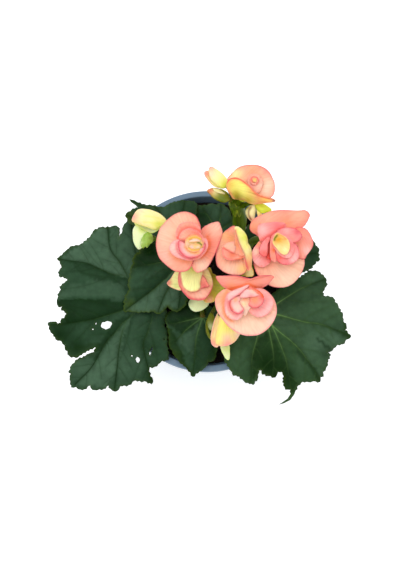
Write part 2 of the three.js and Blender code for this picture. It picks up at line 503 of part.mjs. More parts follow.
// Each bloom has its height, the middle of its receptacle [u, v, height above the base] and its petals from
// the outside in. Every petal's margin or middle reaches down to the receptacle.
const BLOOMS = {
  bloom_upper_left: {
    base: 170,
    centre: [-8, 26],
    petals: [
      { mid: [-20, 29, -2], edge: [[-4.3, 38, 3], [-7.5, 47, 4], [-16, 51, 3], [-27, 46, 1],
        [-34.5, 37, 0], [-36.3, 27, -1], [-33, 15, 0], [-27, 9.8, 1], [-20, 7.2, 2], [-12.5, 10, 2],
        [-7, 22, -1]] },
      { mid: [0, 25, -3], edge: [[-4, 36.5, 0], [1, 41.8, 1], [8, 43.7, 2], [10.7, 40, 2], [11, 35, 1],
        [8.5, 27, 0], [5, 18, 0], [0.5, 10.5, 1], [-6, 6.6, 1], [-10.5, 10, 0], [-12, 15, -1],
        [-9, 25, -3]] },
      { grid: 4, mid: [-14, 35, 3], edge: [[-5, 37, 7], [-9, 41.5, 7.5], [-13.5, 43.2, 7.5],
        [-18.5, 41.3, 7],
        [-22, 36.5, 6], [-22.2, 32, 5], [-17, 28, 2], [-11, 26, 0], [-6, 30, 3]] },
      { grid: 4, mid: [-12, 21, 3], edge: [[-18, 29.5, 4], [-24, 29.5, 6], [-27.3, 25.5, 6],
        [-25.5, 20.5, 6.5],
        [-20, 17, 7], [-13, 15, 8], [-6, 15.8, 8.5], [-1, 20, 8.5], [0.8, 26, 8.5], [-1, 31, 7],
        [-4.5, 27, 1],
        [-11, 25, 0]] },
      { grid: 4, mid: [-11, 22, 6], edge: [[-19.5, 29.5, 9], [-21, 24.5, 10], [-18, 19.5, 10.5],
        [-12.5, 17.3, 11], [-6.5, 18.3, 11], [-2.5, 22, 10.5], [-1.5, 27, 10], [-6, 26, 2],
        [-13, 26.5, 2]] },
      { grid: 4, mid: [-11, 34, 6], edge: [[-2, 27, 10], [-2.5, 31, 10.5], [-6.5, 35.8, 11],
        [-12, 37.5, 11],
        [-17, 35, 10.5], [-19.8, 31, 9], [-14, 27.5, 2], [-7, 26, 1]] },
      { grid: 3, mid: [-9, 26.8, 3.5], edge: [[-3.2, 28, 9], [-4.6, 31.8, 9], [-8.4, 33.6, 9.5],
        [-12.6, 31.6, 9],
        [-15, 27.4, 8.5], [-13, 22.4, 9], [-9, 20.8, 9.5], [-5, 23, 9]] },
      { grid: 3, mid: [-9, 29.8, 8.5], edge: [[-4.4, 30, 9], [-7, 31.7, 10], [-11, 31.4, 10], [-14, 29, 9],
        [-10, 28.2, 8], [-8.5, 27, 1]] },
      { grid: 3, mid: [-9, 24.2, 8.5], edge: [[-4.6, 25.2, 9], [-9, 25.8, 10], [-13.5, 25, 9],
        [-12, 22.8, 9],
        [-8, 22.2, 8], [-8, 25, 1]] },
    ],
  },
  bloom_upper_middle: {
    base: 166,
    centre: [18, 21],
    petals: [
      { mid: [16, 20, -2], edge: [[20, 40.3, 4], [14, 37.2, 4], [9.5, 31.5, 3], [6.8, 24, 2],
        [6.4, 16, 2], [9, 9.5, 3], [14.5, 5.6, 4], [21, 4.4, 5], [26, 5.5, 5], [28.2, 10, 3], [27.2, 16, 1],
        [24, 23, -1], [21.5, 31, 1]] },
      { mid: [26.5, 24, 4], edge: [[20.5, 40.4, 5], [24, 39, 3], [27.5, 35, 1], [28.8, 30.5, -1],
        [28.7, 28, -1], [30.5, 25, -1], [31.5, 20, -1], [31.2, 13, 0], [30, 9, 3], [28.6, 9, 6],
        [28, 14, 7],
        [25.6, 21.5, 8], [22.2, 28.5, 8], [20.4, 34, 7]] },
      { grid: 3, mid: [15.4, 25, 7], edge: [[11, 25, 7], [13.5, 27.3, 8], [17, 28.2, 8.5], [19.3, 28, 8],
        [19.2, 23, 8], [18.5, 20.2, 8], [17, 21, 1], [14.5, 22.6, 7.5]] },
      { grid: 4, mid: [17, 19, 3], edge: [[10.9, 24.6, 7], [11.2, 19, 6.5], [13, 16, 6.5], [17, 15.3, 6.5],
        [22, 16, 6.5], [26, 18.6, 6], [24, 22.4, 6], [20, 21.5, 1], [15.5, 21.5, 4]] },
      { grid: 3, mid: [21.6, 24, 6], edge: [[19.6, 28.6, 8], [20.2, 33, 7], [22, 28, 7], [24.8, 21.5, 7],
        [25.6, 18.2, 6], [21.6, 18, 5], [19, 20.4, 1], [19.6, 24, 7]] },
      { grid: 4, mid: [27.5, 8.5, -4], edge: [[30.8, 11.5, -3], [32.6, 8, -4], [32.8, 5.2, -5],
        [31, 3.8, -5],
        [27, 4.3, -4], [23, 8, -3.6], [16.5, 20, -3], [25, 15, -3]] },
    ],
  },
  bloom_right: {
    base: 163,
    centre: [52, 27],
    petals: [
      { mid: [53, 43, 2], edge: [[31.2, 38.5, -2], [33.5, 44, 0], [39, 48.8, 1], [47, 51.3, 1],
        [56, 52.2, 1], [66, 52, 1], [72, 52, 1], [74.7, 48, 0], [72, 42.5, -1], [67, 38, -2], [60, 33, -3],
        [52, 29, -4], [44, 32, -3], [36, 34.3, -3]] },
      { mid: [52, 11, -2], edge: [[34, 15, 0], [36, 7, 2], [40, 1.5, 2], [45, -2.3, 2], [51, -3.9, 2],
        [57, -3, 2], [63, 0, 2], [67, 5.5, 2], [69.2, 13, 2], [67, 19, 0], [58, 25, -3], [50, 26, -3],
        [41, 21, -1]] },
      { mid: [68, 28, 1], edge: [[69.7, 39.3, 3], [73.5, 36.5, 3], [76.3, 30.5, 2], [76, 25, 2],
        [73.5, 20.3, 2], [69.5, 16.8, 2], [62, 19, 0], [54, 26, -2], [59, 35, 1], [65, 39.5, 2]] },
      { grid: 4, mid: [45, 38, 4], edge: [[36.3, 38.2, 5], [39, 42, 6], [46, 43, 6.5], [53, 42.7, 6.5],
        [56, 40, 5], [52, 30, -1], [46, 31, 1], [40, 30.5, 3], [37.6, 30.6, 4]] },
      { grid: 4, mid: [39, 20, 1.5], edge: [[38.8, 29, 2], [34.8, 27.5, 3], [32.3, 23, 3], [32.3, 18, 3],
        [35, 13, 4], [39, 10.9, 4], [43, 13, 3.5], [46, 18, 1.5], [50, 26, -2], [44, 28, 0]] },
      { grid: 4, mid: [42, 26, 5], edge: [[46, 33, 7], [41.5, 31, 8], [37.8, 26, 8.5], [37.5, 21, 8.5],
        [40, 18.3, 8.5], [43.5, 19.2, 8], [45, 24, 5], [50, 27, -1], [49.5, 32, 3]] },
      { grid: 4, mid: [60, 34, 6.5], edge: [[50.5, 36.5, 7], [55, 39, 8], [61, 39, 9], [66, 37, 9],
        [68.6, 33.5, 9], [67, 30.5, 8], [61, 29.3, 7], [55, 27, 0], [51, 30, 2]] },
      { grid: 4, mid: [56, 20, 4], edge: [[60.5, 28.5, 7], [64.5, 25, 8], [66, 20.5, 8], [64.5, 16, 8],
        [60, 13, 8], [55, 12.3, 8], [50, 13.7, 8], [47.3, 17, 8], [46.3, 23, 8], [48, 27, 6], [52, 27, 0],
        [57, 26, 1]] },
      { grid: 4, mid: [53.4, 27, 1], edge: [[48, 33, 9.5], [47.2, 29.5, 9.5], [50, 23, 9.5],
        [54.5, 18.8, 10],
        [58.5, 17.8, 10.5], [60.3, 20.5, 10.5], [60, 25, 10], [56.5, 30.5, 9.5], [52.5, 34.8, 9.5],
        [49.8, 35.6, 9.5]] },
    ],
  },
  bloom_lower_middle: {
    base: 176,
    centre: [27, -16],
    petals: [
      { mid: [27, -1, 2], edge: [[6.6, 2.2, 4], [9, 3.7, 5], [18, 3.9, 7], [28, 3, 7], [35, 3.3, 7],
        [40, 4.4, 6], [46, 4.3, 5], [47.2, 3, 4], [45.5, -0.5, 2], [41, -3.8, 0], [34, -6, -2],
        [27, -13, -4],
        [20, -6.5, -2], [14, -4.8, 0], [9.5, -1.5, 2]] },
      { mid: [27, -20, -3], edge: [[10, -6.3, 1], [6.3, -10.5, 2], [5.5, -15.5, 2], [7.3, -21, 2],
        [11, -27, 2], [17, -33, 3], [23.5, -37.2, 3], [30, -38, 4], [37, -37, 4], [43, -33, 4],
        [47, -27, 4],
        [48.8, -20, 4], [48, -13.5, 3], [45, -8.5, 2], [38.5, -6.5, 0], [28, -11, -3], [17, -7.5, -1]] },
      { grid: 4, mid: [18, -17, 3], edge: [[24, -6, 6], [18, -7, 7], [14.2, -11, 7], [12.4, -16, 7],
        [13, -21, 7], [15.5, -25.8, 7], [19.5, -27.8, 7], [23.5, -26.3, 7], [26.3, -21.5, 6], [27, -16, 0],
        [26, -11, 2]] },
      { grid: 4, mid: [37, -16, 3], edge: [[31, -5.5, 6], [38, -6.8, 7], [43, -10, 7], [46.7, -14.5, 7],
        [45.5, -20, 7], [41.5, -24, 7], [36.5, -25.2, 7], [32, -23.8, 7], [29, -20.5, 7], [27, -16, 0],
        [29, -10, 2]] },
      { grid: 4, mid: [20.5, -16, 6], edge: [[27, -7, 9], [22, -9, 9.5], [18, -11.5, 10],
        [15.6, -15.5, 10.5],
        [17, -20, 10.5], [20, -23, 10.5], [23.5, -23, 10], [26, -20.5, 9], [27, -15, 1]] },
      { grid: 4, mid: [33.5, -11.5, 6], edge: [[28, -5.2, 9], [33, -5.3, 9.5], [38, -7.5, 10],
        [40.3, -11.5, 10.5], [38.5, -16.5, 10.5], [34.5, -18.6, 10.5], [30.5, -17.8, 10], [28.3, -15.5, 5],
        [27, -13, 1]] },
      { grid: 3, mid: [27.5, -9, 10], edge: [[28.7, -4.6, 11], [24, -8, 11.5], [21.5, -10.8, 11.5],
        [26, -11.6, 11], [27.5, -13.5, 2], [30.5, -11, 11], [34.5, -9.5, 12], [33, -6.2, 12]] },
      { grid: 3, mid: [26, -14.5, 8], edge: [[21.8, -11.8, 9], [23.6, -16, 9], [26.5, -19.6, 9],
        [27.6, -16.5, 2],
        [31, -15, 9], [28.5, -12.6, 9.5], [25, -11.6, 9.5]] },
    ],
  },
  bloom_back: {
    base: 166,
    centre: [26.5, 63.5, -4],
    petals: [
      { mid: [34, 75, -1], edge: [[15.3, 76, 3], [18, 80.5, 4], [23.5, 84.3, 4], [30, 86, 4],
        [37, 85.4, 4], [42.5, 83, 3], [46, 79, 3], [48.2, 73, 3], [48.3, 67, 2], [46, 61.5, 1],
        [37, 61, -3],
        [27, 62, -6], [20, 71, -1]] },
      { mid: [26, 67, 1], edge: [[14.8, 75, 4], [19, 76.6, 6], [24, 75.8, 7], [29, 72.5, 7],
        [33, 68, 7], [38, 63.8, 6], [44, 61.2, 5], [48.9, 58.9, 3], [45, 57.7, 1], [37, 57.4, -2],
        [31, 58, -5], [26, 60, -6], [20, 60.4, -5], [16.5, 65, -3], [14, 70, 1]] },
      { grid: 4, mid: [34, 74, 2], edge: [[28.8, 73.5, 5], [29.5, 77.6, 6], [33, 79.4, 6], [37.5, 78, 6],
        [39.2, 74, 6], [37, 70.5, 5], [27.5, 64.5, -4]] },
      { grid: 3, mid: [34, 73.8, 5], edge: [[31.4, 74.5, 7], [34, 76.8, 7], [36.5, 75.2, 7], [36, 72, 6],
        [28, 65, -4]] },
    ],
  },
  bloom_half_open: {
    base: 146,
    centre: [-8, -1],
    petals: [
      { mid: [-8, 0, -2], edge: [[-19.8, 6, 4], [-20.3, 0, 5], [-18, -6, 6], [-14, -11, 7],
        [-9, -13.3, 8], [-4, -13.5, 8], [-1, -11, 7], [2, -6, 6], [4, -1, 5], [2.5, 6, 3], [0, 10, 2],
        [-9, 12, 1], [-17, 10, 2]] },
      { grid: 4, mid: [-11, 1, 10], edge: [[-18, 7, 6], [-18.2, 1, 7], [-15.5, -4.3, 7], [-11, -6.8, 6],
        [-8, -4, 0], [-4.5, -3, 7], [-3.5, 3, 8], [-3.2, 9, 6], [-9, 11, 4]] },
      { grid: 3, mid: [-1.5, -1, 5], edge: [[-3, 5, 7], [0, 2.5, 8], [2.3, -3, 8], [-1, -4.6, 8],
        [-5, -4.8, 7], [-6, -2, 0], [-4.2, 1, 7]] },
      { grid: 4, mid: [-21, 0, 1], edge: [[-18, 7.2, 0], [-22.5, 5.3, 1], [-26, 2, 2], [-28.1, -1, 3],
        [-26, -3.8, 2], [-22, -5.6, 1], [-18, -5.5, 0], [-9, -1, -3]] },
      { grid: 4, mid: [3, -4, -3], edge: [[1, 11, 0], [4.5, 6, 0], [8, 2.3, 0], [12.3, -3.5, 0],
        [10.5, -7, 0],
        [7.5, -10, 1], [5.5, -13.2, 2], [1.5, -14.6, 2], [-3, -13.5, 0], [-9, -1, -3]] },
    ],
  },
};

function receptacle([u, v, rise = 0], base) {
  const dome = turned([
    [0, -RECEPTACLE_DEPTH],
    [0.7 * RECEPTACLE_RADIUS, -RECEPTACLE_DEPTH],
    [RECEPTACLE_RADIUS, -0.2 * RECEPTACLE_DEPTH],
    [0.6 * RECEPTACLE_RADIUS, 0.7 * RECEPTACLE_DOME],
    [0, RECEPTACLE_DOME],
  ], RECEPTACLE_SIDES);
  const place = seenAt(u, v, base + rise);
  return dome.translate([place.x, place.y, place.z]);
}

function bloomSolid({ base, centre, petals }) {
  const sheets = petals.map((petal) => patch(petal, base));
  return joined([receptacle(centre, base), ...sheets]).subtract(stemRoom);
}

// ---------------------------------------------------------------- buds

// A bud is two convex valves that meet at a rim, so it is a pillow. A flap is a valve that shows beside it.
const BUDS = {
  bud_left_upper: {
    base: 144,
    pillow: { belly: 8.4, mid: [-41, 45], edge: [[-28.6, 43.4], [-32, 48], [-37, 50.9],
      [-43, 52.6], [-49, 52.6], [-52, 49.5], [-53.7, 44], [-48, 41.2], [-42, 39],
      [-37, 37.4], [-32, 39.6]] },
    flaps: [{ mid: [-42, 40, -5], edge: [[-51.6, 42.6, -1], [-47, 38.6, -3], [-41, 35.4, -4], [-37, 36, -4],
      [-31.6, 41, -1], [-40, 43, -3]] }],
  },
  bud_left_lower: {
    base: 137.5,
    pillow: { belly: 6.4, mid: [-47.5, 32.5], edge: [[-41, 33.4], [-44, 36.4], [-47.6, 39.6],
      [-50.6, 41.2], [-52.8, 38], [-53, 33], [-52.2, 28], [-49.8, 24], [-47.6, 23.4],
      [-44, 26.4], [-41.6, 30]] },
    flaps: [],
  },
  bud_front: {
    base: 149,
    pillow: { belly: 8, mid: [13.5, -36], edge: [[9.4, -24], [7.6, -30], [6, -37], [5.6, -43.6],
      [9, -45.8], [14.6, -45.4], [19, -43], [21.8, -39.6], [23, -36], [19, -31],
      [13, -24.6]] },
    flaps: [{ mid: [5.6, -35, -2.5], edge: [[8.4, -21.6, -2], [5.4, -27, -1], [3.4, -34.5, -1],
    [2.6, -40.5, -1],
      [3.8, -45.2, -1], [7.6, -46.2, -1], [8.6, -38, -3.4], [9.6, -28, -3]] }],
  },
  bud_front_small: {
    base: 136.5,
    pillow: { belly: 4, mid: [12.6, -49.5], edge: [[10.6, -43.4], [9.4, -46], [10.6, -50.5],
      [13.8, -55.2], [15.4, -54.8], [15.8, -50], [15.4, -45.6], [13, -43.4]] },
    flaps: [],
  },
  bud_middle: {
    base: 134,
    pillow: { belly: 6, mid: [-5.8, -16], edge: [[-5, -9], [-9.6, -10.6], [-12.8, -14.4],
      [-12.6, -18], [-9.6, -21.2], [-6, -21.4], [-1.6, -19.4], [1.4, -15.6], [0, -11]] },
    flaps: [],
  },
  bud_green: {
    base: 122.5,
    pillow: { belly: 2.6, mid: [2.6, -29], edge: [[3.4, -22.6], [0.6, -25.4], [0.3, -30.4],
      [2.4, -35], [4.6, -31], [5.2, -26]] },
    flaps: [{ thickness: 0.7, mid: [0.4, -32, -0.5], edge: [[2.8, -21.6, -1], [0.2, -26, -0.5],
      [-1.2, -32], [0, -38], [2.6, -41.4], [1, -36, -0.6], [1, -30, -1.4]] }],
  },
  bud_back_upper: {
    base: 161,
    pillow: { belly: 6, mid: [8, 76.5], edge: [[15.4, 69.6], [16, 73], [12.6, 77.6], [7.4, 81.8],
      [3, 84.6], [1.2, 82], [2.4, 76], [5.6, 71.4], [10.6, 68.2]] },
    flaps: [{ mid: [3, 76.5, -3], edge: [[12.8, 68.6, -1], [6, 69.4, -2], [2, 73, -2], [-1.8, 78.8, -1],
      [-0.8, 81.2, -1], [2, 81, -2], [6, 75, -3.5]] }],
  },
  bud_back_lower: {
    base: 154,
    pillow: { belly: 5, mid: [8.4, 63.4], edge: [[16.5, 60], [15.4, 64.4], [12, 67], [8.6, 67.9],
      [4, 68.6], [0, 66.6], [2.6, 63.2], [5.4, 60.4], [9.6, 58.2], [13.6, 57.8]] },
    flaps: [],
  },
  bud_back_right: {
    base: 158,
    pillow: { belly: 2.2, mid: [39.6, 53.2, 0.5], edge: [[33.4, 56.6, -1], [37, 57.4], [41.6, 56.2],
      [46.4, 52.2], [43, 50.4], [39.6, 49.8], [35.4, 53.4, -1]] },
    flaps: [
      { mid: [31.4, 51, 1], edge: [[34.4, 56.2], [30.4, 55], [28, 52, -1], [28.4, 48, -2],
        [31, 44.6, -3], [33.4, 43.2, -3], [34.2, 48, -1], [35, 52.6]] },
      { mid: [37, 51, -1], edge: [[35, 56.4], [37.6, 53.4], [39.4, 50, -1], [38.6, 47.4, -2],
        [36.6, 47.6, -2], [35.6, 52, -1]] },
    ],
  },
};

function budSolid({ base, pillow, flaps }) {
  const lower = flaps.map((flap) => patch({ grid: FLAP_GRID, ...flap }, base));
  return joined([patch(pillow, base), ...lower]).subtract(stemRoom);
}

// ---------------------------------------------------------------- stems

// Each stem is its main stalk and the flower stalks that branch from it. A branch has real points, its radius
// at the foot and at the tip, and the bloom or bud that it runs up into.
const STEMS = {
  stem_left: [
    { route: [[-10, 4, 70], [-10.6, 4, 96], [-11.6, 3, 110], [-12, 3, 124]], foot: 4.8, tip: 3.4 },
    { route: [[-12, 3, 120], [-11, 6, 138], [-9, 9.4, 154]], foot: 3, tip: 2, to: 'bloom_upper_left' },
    { route: [[-11.6, 4, 128], [-10, -2, 134]], foot: 2.2, tip: 1.7, to: 'bloom_half_open' },
    { route: [[-11.5, 5.4, 134], [-18, 17, 139]], foot: 2.2, tip: 1.6, to: 'bud_left_upper' },
    { route: [[-11.7, 5, 131], [-23, 16, 134]], foot: 2, tip: 1.4, to: 'bud_left_lower' },
    { route: [[-11.8, 2.8, 118], [-9.4, -6, 126]], foot: 1.9, tip: 1.4, to: 'bud_middle' },
  ],
  stem_right: [
    { route: [[18, 1, 70], [18.2, 1, 96], [18.8, 0.5, 112], [19.2, 0, 127]], foot: 4.8, tip: 3.4 },
    { route: [[19, 0.4, 122], [17.6, 3.6, 142]], foot: 2.8, tip: 1.9, to: 'bloom_upper_middle' },
    { route: [[19.2, 0.4, 124], [23.5, 10, 133], [30, 20, 142], [38, 18.5, 151]], foot: 2.8, tip: 2.2,
      to: 'bloom_right' },
    { route: [[19.2, -0.6, 125], [21, -12, 147], [23, -23, 165]], foot: 2.8, tip: 2, to: 'bloom_lower_middle' },
    { route: [[20, -5.4, 135], [14, -17, 142]], foot: 2, tip: 1.7, to: 'bud_front' },
    { route: [[19, -1, 124], [13, -22, 134]], foot: 1.9, tip: 1.3, to: 'bud_front_small' },
    { route: [[18.5, 0, 114], [10, -13, 119.5]], foot: 1.6, tip: 1.2, to: 'bud_green' },
  ],
  stem_back: [
    { route: [[12, 21, 70], [13, 21, 96], [16, 24, 110], [21, 31, 122], [22, 38, 133], [19, 45, 145]],
      foot: 5, tip: 4.6 },
    { route: [[19.8, 44, 141], [21, 45.6, 150]], foot: 2.5, tip: 2, to: 'bloom_back' },
    { route: [[19.4, 45.4, 144], [16.6, 48.6, 151]], foot: 2, tip: 1.6, to: 'bud_back_upper' },
    { route: [[19.4, 44.6, 142], [16.6, 47, 147]], foot: 2, tip: 1.5, to: 'bud_back_lower' },
    { route: [[20.6, 42.6, 140], [26, 43.6, 150]], foot: 1.9, tip: 1.4, to: 'bud_back_right' },
  ],
};

// The point where a flower stalk ends: a little way up into the receptacle, or at the foot of the bud's rim.
function seatOf(name) {
  if (name in BLOOMS) {
    const { base, centre: [u, v, rise = 0] } = BLOOMS[name];
    return seenAt(u, v, base + rise - RECEPTACLE_DEPTH + SEAT_DEPTH);
  }
  const { base, pillow } = BUDS[name];
  const [u, v] = pillow.edge[0];
  return seenAt(u, v, base);
}

function stemSolid(branches, grow = 0) {
  return joined(branches.map(({ route, foot, tip, to }) => {
    const points = route.map((p) => new THREE.Vector3(...p));
    if (to) {
      points.push(seatOf(to));
    }
    return stalk(points, foot, tip, grow);
  }));
}

const stemRoom = joined(Object.values(STEMS).map((branches) => stemSolid(branches, GAP)));

// ---------------------------------------------------------------- the scene graph

const FINISHES = {
  pot: new THREE.MeshStandardMaterial({ color: 0x5d6a7a, roughness: 0.5, metalness: 0 }),
  soil: new THREE.MeshStandardMaterial({ color: 0x2a2019, roughness: 0.95, metalness: 0 }),
  stem: new THREE.MeshStandardMaterial({ color: 0x6b7a1e, roughness: 0.45, metalness: 0 }),
  leaf: new THREE.MeshStandardMaterial({ color: 0x3c5a44, roughness: 0.5, metalness: 0 }),
  petal: new THREE.MeshStandardMaterial({ color: 0xf5b89c, roughness: 0.5, metalness: 0 }),
  bud: new THREE.MeshStandardMaterial({ color: 0xeee6a0, roughness: 0.45, metalness: 0 }),
};

const plant = new THREE.Group();

const plantPlace = [0, -PLANT_FORWARD, 0];

function addNode(name, solid, finish) {
  const mesh = new THREE.Mesh(geometryOf(solid), FINISHES[finish]);
  mesh.name = name;
  plant.add(mesh);
}

addNode('pot', potSolid(), 'pot');
addNode('soil', soilSolid().subtract(stemRoom.translate(plantPlace)), 'soil');
for (const [name, branches] of Object.entries(STEMS)) {
  addNode(name, stemSolid(branches).translate(plantPlace), 'stem');
}
for (const [name, leaf] of Object.entries(LEAVES)) {
  addNode(name, leafSolid(leaf).translate(plantPlace), 'leaf');
}
for (const [name, bloom] of Object.entries(BLOOMS)) {
  addNode(name, bloomSolid(bloom).translate(plantPlace), 'petal');
}
for (const [name, bud] of Object.entries(BUDS)) {
  addNode(name, budSolid(bud).translate(plantPlace), 'bud');
}

export default plant;
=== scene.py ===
# %% [markdown]
# # A potted begonia
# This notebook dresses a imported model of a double-flowered begonia in its nursery pot. The model gives the
# real sizes and places. Every step below makes one kind of piece round it: pot, soil, stems, leaves, blooms
# and buds. Lengths in the lists are millimetres, because that is how a plant is measured, and they become
# Blender's metres at the moment when a mesh is made.

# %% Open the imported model
import bpy
import math
import numpy as np
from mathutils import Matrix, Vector, geometry


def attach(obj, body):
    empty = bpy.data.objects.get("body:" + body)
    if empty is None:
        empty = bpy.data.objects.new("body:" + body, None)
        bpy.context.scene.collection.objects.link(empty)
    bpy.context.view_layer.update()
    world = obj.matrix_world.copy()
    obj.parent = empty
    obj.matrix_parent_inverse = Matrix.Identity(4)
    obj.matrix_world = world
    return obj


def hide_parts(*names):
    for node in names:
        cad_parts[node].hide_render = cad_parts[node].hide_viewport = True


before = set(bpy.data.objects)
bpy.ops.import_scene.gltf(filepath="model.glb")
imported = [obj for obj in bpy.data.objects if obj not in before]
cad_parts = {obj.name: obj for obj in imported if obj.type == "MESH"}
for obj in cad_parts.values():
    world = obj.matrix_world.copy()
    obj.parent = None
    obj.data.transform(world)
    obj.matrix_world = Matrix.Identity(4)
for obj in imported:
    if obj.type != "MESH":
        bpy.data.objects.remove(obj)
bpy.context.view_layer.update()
MM = 0.001
print("nodes:", len(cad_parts))

# %% [markdown]
# ## Drawing on the plane of the rim
# A flat photograph hides height. So each outline is drawn as (u, v) on the plane of the pot's rim, as an eye
# high above the plant sees it, and every point gets its own height. A raised point is nearer to that eye, so
# it slides back along its line of sight. This keeps the drawing true from above and the plant real from all
# other sides.

# %% The eye and its lines of sight
RIM_HEIGHT = 102
EYE = np.array([-5, -106.7, 692.9])


def seen_at(u, v, z):
    """The real points, in mm, at heights z on the lines of sight through (u, v)."""
    nearer = (z - RIM_HEIGHT) / (EYE[2] - RIM_HEIGHT)
    return np.stack([u + nearer * (EYE[0] - u), v + nearer * (EYE[1] - v), z + 0 * u], axis=-1)


def with_height(point, level=0):
    """A drawn point as (u, v, height). It lies at the given level if it has no height of its own."""
    return (*point, level)[:3]


print("a bloom's rim stands", round(seen_at(0.0, 0.0, 176.0)[1], 1), "mm in front of its drawn place")

# %% Blends and soft edges
TINY = 1e-12
FAR = 1e9


def mix(a, b, share):
    """Straight blend from a to b, also between arrays of points or colours."""
    return a + (b - a) * share


def smooth(low, high, value):
    """0 below low, 1 above high, and an even S in between."""
    t = np.clip((value - low) / (high - low), 0, 1)
    return t * t * (3 - 2 * t)


def bell(distance, width):
    """1 on a line, falling to nothing on both sides like a bell."""
    return np.exp(-((distance / width) ** 2))


def fade(distance, width):
    """1 on a line, and a sharp start of a long fall away from it."""
    return np.exp(-distance / width)


print("a smooth step at a quarter:", smooth(0, 1, 0.25))

# %% [markdown]
# ## From points to a piece
# Every living piece here is a closed mesh with two kinds of data on its corners: `tint` is the colour that it
# has there, as a painter would lay it down in soft washes, and on the leaves and in the petals' folds it also
# holds painted shade, sheen and glow; `grain` says how its fibres run. The material reads both and adds what
# is too fine to paint. A plain mesh keeps full control over thin, waved sheets, where a modifier would guess.

# %% A thin sheet as a closed part
def vertex_normals(points, faces):
    """Even normals of a sheet, from the area-weighted normals of its faces."""
    faces = np.array(faces)
    normals = np.zeros_like(points)
    for corner in range(1, faces.shape[1] - 1):
        trio = faces[:, [0, corner, corner + 1]]
        a, b, c = points[trio[:, 0]], points[trio[:, 1]], points[trio[:, 2]]
        turn = np.cross(b - a, c - a)
        for place in range(3):
            np.add.at(normals, trio[:, place], turn)
    length = np.linalg.norm(normals, axis=1, keepdims=True)
    return normals / np.maximum(length, TINY)


def open_edges(faces):
    """The edges that only one face uses, in that face's direction."""
    edges = {(face[i], face[(i + 1) % len(face)]) for face in faces for i in range(len(face))}
    return [edge for edge in edges if (edge[1], edge[0]) not in edges]


def closed_sheet(points, faces, thickness, top_tint, under_tint, rim_tint, grain):
    """A sheet with two faces and a rim. thickness is one number, or one for each point."""
    half = vertex_normals(points, faces) * np.reshape(thickness, (-1, 1)) / 2
    count = len(points)
    rim = open_edges(faces)
    solid = faces + [tuple(corner + count for corner in reversed(face)) for face in faces]
    solid += [(a, a + count, b + count, b) for a, b in rim]
    tints = np.concatenate([top_tint, under_tint])
    edge = sorted({corner for pair in rim for corner in pair})
    for side in (0, count):
        tints[np.array(edge) + side] = rim_tint[edge]
    return {
        "points": np.concatenate([points + half, points - half]),
        "faces": solid,
        "tint": tints,
        "grain": np.concatenate([grain, grain]),
    }


# %% Parts, pieces and their place
PLANT_PLACE = np.array([0, -1.5, 0])
POT_PLACE = np.array([0, 0, 0])
EVEN_GRAIN = 0.3


def plain_part(points, faces, colour):
    """A part of one colour, with an even grain."""
    tint = np.tile(colour, (len(points), 1))
    return {"points": points, "faces": faces, "tint": tint, "grain": points * EVEN_GRAIN}


def joined(parts):
    """Several parts laid into one."""
    start = 0
    faces = []
    for part in parts:
        faces += [tuple(corner + start for corner in face) for face in part["faces"]]
        start += len(part["points"])
    data = {key: np.concatenate([part[key] for part in parts]) for key in parts[0] if key != "faces"}
    return {**data, "faces": faces}


def mesh_object(name, points, faces):
    """An object with a mesh of the given points, in mm."""
    mesh = bpy.data.meshes.new(name)
    mesh.from_pydata([tuple(point) for point in np.array(points) * MM], [], faces)
    made = bpy.data.objects.new(name, mesh)
    bpy.context.scene.collection.objects.link(made)
    return made


def make_piece(name, part, material, nodes, place=PLANT_PLACE):
    """Turns a part into an object that rides on the plant and stands for the given nodes of the model."""
    piece = mesh_object(name, part["points"] + place, part["faces"])
    piece.data.materials.append(material)
    tint = piece.data.attributes.new("tint", "FLOAT_COLOR", "POINT")
    tint.data.foreach_set("color", np.hstack([part["tint"], np.ones((len(part["tint"]), 1))]).ravel())
    grain = piece.data.attributes.new("grain", "FLOAT_VECTOR", "POINT")
    grain.data.foreach_set("vector", part["grain"].ravel())
    piece.data.shade_smooth()
    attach(piece, "root")
    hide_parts(*nodes)
    return piece


print("the plant stands", -PLANT_PLACE[1], "mm in front of the pot's middle")

# %% [markdown]
# ## Colours by name
# A grower would call these colours by name, so the script does too. They are picked as they look on a screen
# and turned into linear light, which is what a shader works with. Each list of washes further down only says
# which name goes where.

# %% The palette
SCREEN_COLOURS = {
    "cream": (255, 208, 182), "peach": (255, 182, 153), "apricot": (255, 158, 112), "salmon": (255, 158, 134),
    "pink": (222, 86, 98), "rose": (253, 150, 145), "blush": (255, 190, 183), "coral": (248, 92, 80),
    "orange": (242, 108, 42), "lemon": (252, 242, 124), "butter": (255, 236, 166), "honey": (252, 198, 112),
    "mint": (226, 236, 180), "ivory": (255, 255, 172), "gold": (238, 172, 44), "lime": (216, 228, 64),
    "olive": (112, 118, 4), "moss": (60, 78, 10), "ember": (212, 56, 24), "sepal": (196, 176, 56),
    "fern": (156, 192, 80), "mauve": (150, 96, 100), "russet": (110, 62, 36), "leaf": (44, 72, 48),
    # On these two lines the two darkest greens are painted shade on the leaves, and the grey-green is painted
    # sheen on them.
    "leaf_fresh": (52, 82, 48), "painted_leaf_shade": (4, 36, 0), "painted_leaf_sheen": (84, 113, 88),
    "leaf_gold": (66, 84, 10), "painted_deep_leaf_shade": (14, 44, 0), "leaf_under": (96, 116, 72),
    "vein": (112, 152, 84), "vein_under": (130, 100, 76), "stem": (74, 100, 0), "stem_bright": (88, 116, 0),
    "stem_red": (112, 72, 34), "soil_bed": (30, 24, 20), "peat": (44, 34, 28), "bark": (74, 60, 50),
    "humus": (28, 22, 19), "perlite": (190, 184, 176),
}


def linear_light(screen):
    """A colour of the screen, 0 to 255, as linear light."""
    screen = np.array(screen) / 255
    return np.where(screen <= 0.04045, screen / 12.92, ((screen + 0.055) / 1.055) ** 2.4)


def painted(tint, colour, share):
    """A tint with a named colour laid over it. share is one number, or one for each point."""
    return mix(tint, COLOURS[colour], np.reshape(share, (-1, 1)))


COLOURS = {name: linear_light(screen) for name, screen in SCREEN_COLOURS.items()}
print("named colours:", len(COLOURS))

